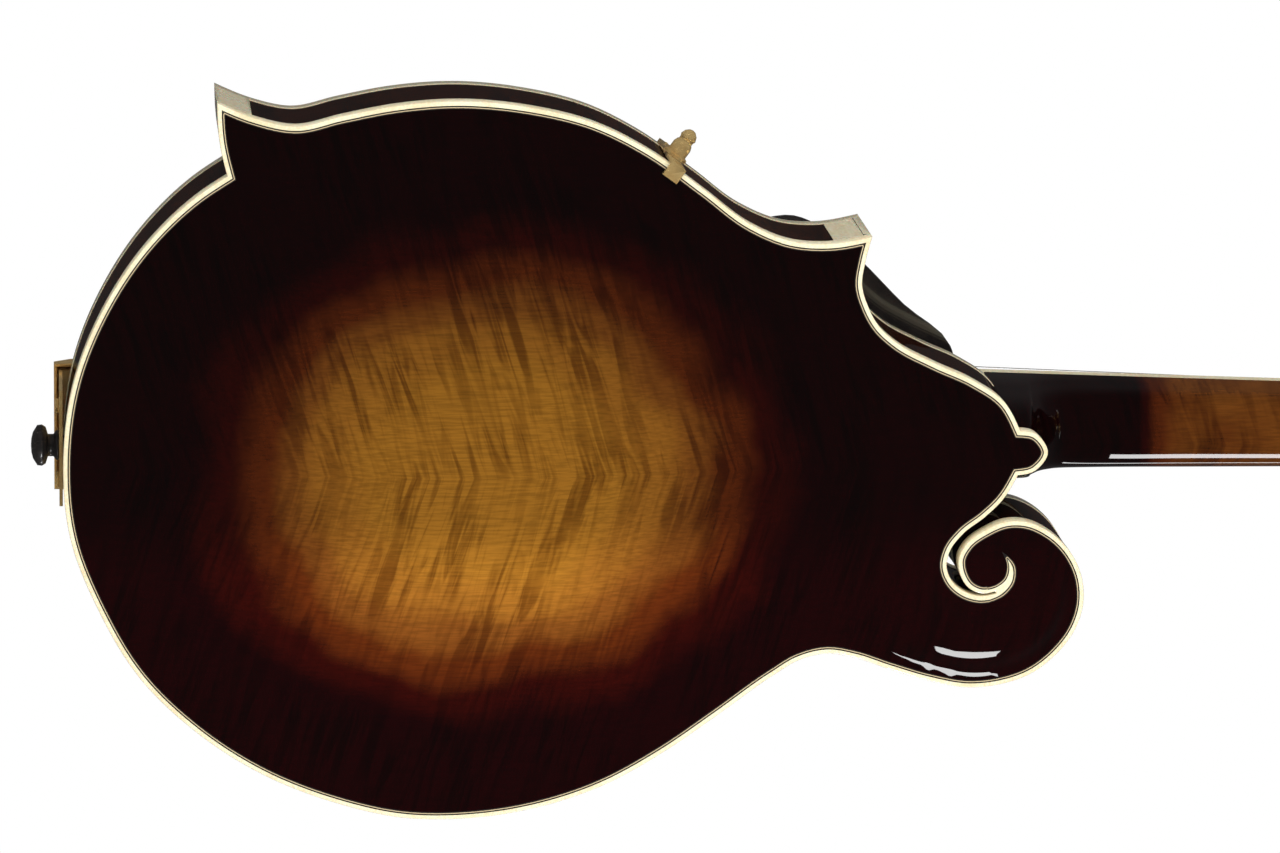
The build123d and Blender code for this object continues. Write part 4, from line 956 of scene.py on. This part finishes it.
    def add_layers(self, name: str, patch: Patch) -> bpy.types.Object:
        """Add a purfling strip and mark each vertex with its share of the way across it."""
        piece = self.add_patch(name, patch, Slot.PURFLING)
        places = np.zeros(len(piece.data.vertices) * 3)
        piece.data.vertices.foreach_get("co", places)
        plan = places.reshape(-1, 3)[:, [0, 2]] / MM - (0.0, BODY_TAIL)
        far, near = distance_to(plan, self.outline.core)[0], distance_to(plan, self.outline.plate)[0]
        attribute = piece.data.attributes.new("across", "FLOAT", "POINT")
        attribute.data.foreach_set("value", (far / np.maximum(far + near, 1e-6)).astype(np.float32))
        return piece

    def build(self) -> None:
        """Make the plates, the ribs and the trim."""
        line = self.outline
        back = self.add_patch("carved_back", self.plate([], BACK_EDGE, 1, True), Slot.FLAMED_MAPLE)
        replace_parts(back, "back_plate")
        holes = self.f_holes()
        front = self.add_patch("carved_top", self.plate(holes, FRONT_EDGE, -1, False), Slot.SPRUCE_TOP)
        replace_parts(front, "top_plate")
        high, low = BACK_EDGE - BINDING_HEIGHT, FRONT_EDGE + BINDING_HEIGHT
        outer, inner = (moved_in(line.edge, inset, MITRE_LIMIT) for inset in self.rib_faces)
        rings = [placed(outer, low), placed(outer, high), placed(inner, high), placed(inner, low)]
        ribs = walls(rings, closed=True)
        side = self.add_patch("side_ribs", ribs.turned(), Slot.FLAMED_MAPLE, finish=RIB_FINISH)
        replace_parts(side, "rim", "head_block", "point_blocks")
        for place, face, inward in (("back", BACK_EDGE, -1.0), ("top", FRONT_EDGE, 1.0)):
            trim = self.strip(line.edge, line.core, face, face + inward * BINDING_HEIGHT, True)
            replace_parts(self.add_patch(f"{place}_edge_binding", trim, Slot.IVOROID), f"{place}_binding")
            layers = self.strip(line.core, line.plate, face, face + inward * PURFLING_DEPTH, False)
            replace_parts(self.add_layers(f"{place}_edge_purfling", layers), f"{place}_purfling")


@dataclass
class Neck(SubAssembly):
    """Neck shaft and heel as one carved surface, with the headstock carried over."""

    # (distance along the neck, depth, share of the half width near the bottom)
    stations: tuple[tuple[float, float, float], ...] = (
        (6.0, 15.0, 0.36), (-30.0, 15.2, 0.36), (-80.0, 15.9, 0.36), (-130.0, 16.8, 0.36),
        (-165.0, 18.2, 0.36), (-176.0, 21.0, 0.34), (-183.0, 29.0, 0.31), (-188.0, 43.0, 0.27),
        (-191.0, 53.0, 0.25), (-197.0, 54.2, 0.25), (-204.0, 54.2, 0.25),
    )
    shoulder: tuple[float, float] = (0.46, 0.36)
    belly: float = 0.86
    per_span: int = 8
    head_start: float = 2.0

    def section(self, along: float, depth: float, foot: float) -> np.ndarray:
        """Half-round cross-section from one edge of the fingerboard to the other, in the object's frame."""
        width = NUT_WIDTH - min(along, 0.0) * NECK_TAPER
        wide, low = self.shoulder
        shoulder, bottom = (width * wide, depth * low), (width * foot, depth * self.belly)
        half = [(width / 2, 0.0), shoulder, bottom, (0.0, depth)]
        across, down = through(half + [(-x, d) for x, d in half[-2::-1]], self.per_span).T
        sine, cosine = math.sin(NECK_PITCH), math.cos(NECK_PITCH)
        return np.column_stack([across, along * sine + down * cosine, along * cosine - down * sine])

    def build(self) -> None:
        """Make the carved shaft and the headstock."""
        rings = [self.section(*station) for station in through(self.stations, self.per_span)]
        shaft = walls(rings)
        count = len(rings[0])
        ends = [tuple(range(count)), tuple(range(len(shaft.points) - 1, len(shaft.points) - count - 1, -1))]
        carved = self.add_patch("neck_shaft", Patch(shaft.points, shaft.faces + ends), Slot.FLAMED_MAPLE)
        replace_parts(carved, "neck")
        mesh = frame["nodes"]["neck"].data.copy()
        kept_part(mesh, Vector((0.0, 0.0, self.head_start * MM)), Vector((0.0, 0.0, 1.0)))
        head = self.add_mesh("headstock", mesh, Slot.FLAMED_MAPLE.value, "instrument")
        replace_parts(head, "neck")


def kept_part(mesh: bpy.types.Mesh, point: Vector, normal: Vector) -> None:
    """Cut a mesh at a plane, keep the side that the normal points to and close the cut.

    Args:
        mesh: the mesh to cut.
        point: a point of the plane, in metres.
        normal: the plane's normal.
    """
    shape = bmesh.new()
    shape.from_mesh(mesh)
    bmesh.ops.remove_doubles(shape, verts=shape.verts, dist=WELD_DISTANCE * MM)
    everything = shape.verts[:] + shape.edges[:] + shape.faces[:]
    bmesh.ops.bisect_plane(shape, geom=everything, plane_co=point, plane_no=normal, clear_inner=True)
    rims = [edge for edge in shape.edges if edge.is_boundary]
    bmesh.ops.holes_fill(shape, edges=rims, sides=0)
    shape.to_mesh(mesh)
    shape.free()


@dataclass
class Strings(SubAssembly):
    """The eight strings, each set cut in two halves at the bridge."""

    anchor: Vector = Vector((0.0, -14.8, BODY_TAIL + 21.0))
    saddle: Vector = Vector((0.0, -38.75, BODY_TAIL + BRIDGE_AT))
    nut: Vector = Vector((0.0, -6.0, 0.0))

    def build(self) -> None:
        """Split both string sets at the bridge."""
        up = Vector((0.0, 0.0, 1.0))
        sets = (("wound_strings", Slot.BRONZE_WOUND), ("plain_strings", Slot.PLAIN_STEEL))
        halves = (("tail", -up, self.anchor), ("neck", up, self.nut))
        for node, slot in sets:
            for half, side, fixed in halves:
                mesh = frame["nodes"][node].data.copy()
                kept_part(mesh, self.saddle * MM, side)
                wires = self.add_mesh(f"{node}_{half}_half", mesh, slot.value, "")
                fixed * MM
                self.saddle * MM
                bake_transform(wires)
                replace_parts(wires, node)


@dataclass
class Fittings(SubAssembly):
    """Every other CAD piece, carried over as a welded, smoothly shaded copy."""

    done: Iterable[str] = ()
    button_reach: float = 12.5

    def build(self) -> None:
        """Copy each node that isn't replaced yet."""
        slots = {part["node"]: part["material_slot"] for part in frame["record"]["subparts"]}
        for name, node in frame["nodes"].items():
            if name in self.done:
                continue
            copy = self.add_mesh(f"{name}_finished", node.data.copy(), slots[name], node["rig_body"])
            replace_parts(copy, name)

    def dress(self) -> None:
        """Give every piece its material, and the tuning keys their pearl buttons."""
        super().dress()
        for piece, finish in self.pieces:
            if not piece.name.startswith("tuning_key"):
                continue
            piece.data.materials.append(self.finishes[Slot.PEARL.value])
            outer = max(abs(corner[0]) for corner in piece.bound_box)
            for polygon in piece.data.polygons:
                polygon.material_index = int(abs(polygon.center[0]) > outer - self.button_reach * MM)


# ---------------------------------------------------------------- studio
@dataclass(frozen=True)
class Softbox:
    """A rectangular studio light.

    Args:
        place: its centre, in metres.
        aim: the point that it faces.
        size: width and height.
        power: watts.
        mirrored: whether glossy surfaces show it.
    """

    place: tuple[float, float, float]
    aim: tuple[float, float, float]
    size: tuple[float, float]
    power: float
    mirrored: bool = True

    def build(self, name: str) -> None:
        """Hang the light."""
        lamp = bpy.data.lights.new(name, "AREA")
        lamp.shape = "RECTANGLE"
        lamp.size, lamp.size_y = self.size
        lamp.energy = self.power
        stand = bpy.data.objects.new(name, lamp)
        stand.visible_glossy = self.mirrored
        stand.location = self.place
        stand.rotation_euler = (Vector(self.aim) - Vector(self.place)).to_track_quat("-Z", "Y").to_euler()
        bpy.context.scene.collection.objects.link(stand)


@dataclass
class Studio:
    """Camera, softboxes, white surround and floor."""

    camera_place: tuple[float, float, float] = (0.4847, 2.2400, -0.5296)
    camera_right: tuple[float, float, float] = (0.013892, 0.086730, 0.996130)
    camera_up: tuple[float, float, float] = (0.977618, -0.210320, 0.004678)
    focal_length: float = 183.15
    sensor_width: float = 36.0
    clip_range: tuple[float, float] = (0.05, 30.0)
    floor_drop: float = 0.06
    floor_half: float = 1.5
    boxes: tuple[Softbox, ...] = (
        Softbox((1.7, 1.3, -0.25), (0.0, 0.03, -0.35), (0.9, 1.6), 34.0, mirrored=False),
        Softbox((0.9, 2.6, 1.1), (0.0, 0.03, -0.35), (0.9, 0.9), 30.0, mirrored=False),
        Softbox((-1.62, 1.35, -0.10), (-0.06, 0.04, -0.22), (0.68, 0.62), 20.0),
        Softbox((-1.60, -0.35, 0.05), (0.0, 0.0, -0.1), (0.25, 1.10), 7.0),
        Softbox((0.3, -1.9, 0.9), (0.0, 0.0, -0.3), (1.5, 1.2), 30.0, mirrored=False),
    )
    glossy_level: float = 0.06
    diffuse_level: float = 0.62

    def camera(self) -> None:
        """Place the camera."""
        data = bpy.data.cameras.new("camera")
        data.lens = self.focal_length
        data.sensor_width = self.sensor_width
        data.sensor_fit = "HORIZONTAL"
        data.clip_start, data.clip_end = self.clip_range
        eye = bpy.data.objects.new("camera", data)
        right = Vector(self.camera_right).normalized()
        up = Vector(self.camera_up)
        up = (up - right * up.dot(right)).normalized()
        turn = Matrix((right, up, right.cross(up))).transposed()
        eye.matrix_world = Matrix.Translation(self.camera_place) @ turn.to_4x4()
        bpy.context.scene.collection.objects.link(eye)
        bpy.context.scene.camera = eye

    def surround(self) -> None:
        """White to the camera, dimmer as light and darkest in reflections, so that gloss reads."""
        net = Net(bpy.data.worlds.new("surround"))
        bpy.context.scene.world = net.owner
        paths = net.node("ShaderNodeLightPath")
        glossy = Signal(net, paths.outputs["Is Glossy Ray"])
        seen = Signal(net, paths.outputs["Is Camera Ray"])
        level = net.node("ShaderNodeMix", glossy, None, self.diffuse_level, self.glossy_level)
        strength = net.node("ShaderNodeMix", seen, None, Signal(net, level.outputs[0]), 1.0)
        shade = net.node(
            "ShaderNodeBackground", Color=(1.0, 1.0, 1.0, 1.0), Strength=Signal(net, strength.outputs[0]),
        )
        net.node("ShaderNodeOutputWorld", Surface=Signal(net, shade.outputs[0]))

    def floor(self) -> None:
        """Pale floor below the tail."""
        half, height = self.floor_half, FRAME_BOUNDS[0].z - self.floor_drop
        mesh = bpy.data.meshes.new("floor")
        corners = [(-half, -half, height), (half, -half, height), (half, half, height), (-half, half, height)]
        mesh.from_pydata(corners, [], [(0, 1, 2, 3)])
        ground = bpy.data.objects.new("floor", mesh)
        ground.visible_glossy = False
        bpy.context.scene.collection.objects.link(ground)
        net = Net.of_material("floor")
        x, y, z = net.place()
        tone = net.span(net.noise(net.vector(x, y, z), 3.0), 0.3, 0.7, 0.80, 0.84)
        ground.data.materials.append(net.surface(Base_Color=net.grey(tone), Roughness=0.6))

    def build(self) -> None:
        """Set up the whole studio."""
        self.camera()
        self.surround()
        self.floor()
        for index, box in enumerate(self.boxes):
            box.build(f"softbox_{index}")
        bpy.context.scene.view_settings.view_transform = "Standard"


def main() -> None:
    """Build, dress and light the mandolin, and log how many pieces each assembly made."""
    logging.basicConfig(level=logging.INFO, format="%(message)s")
    finishes = palette()
    assemblies: list[SubAssembly] = [Soundbox(finishes), Neck(finishes), Strings(finishes)]
    for assembly in assemblies:
        assembly.build()
        log.info("%s: %d pieces", type(assembly).__name__, len(assembly.pieces))
    done = {node for assembly in assemblies for piece, _ in assembly.pieces for node in piece["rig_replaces"]}
    fittings = Fittings(finishes, done=done)
    fittings.build()
    for assembly in [*assemblies, fittings]:
        assembly.dress()
    Studio().build()


if __name__ == "__main__":
    main()
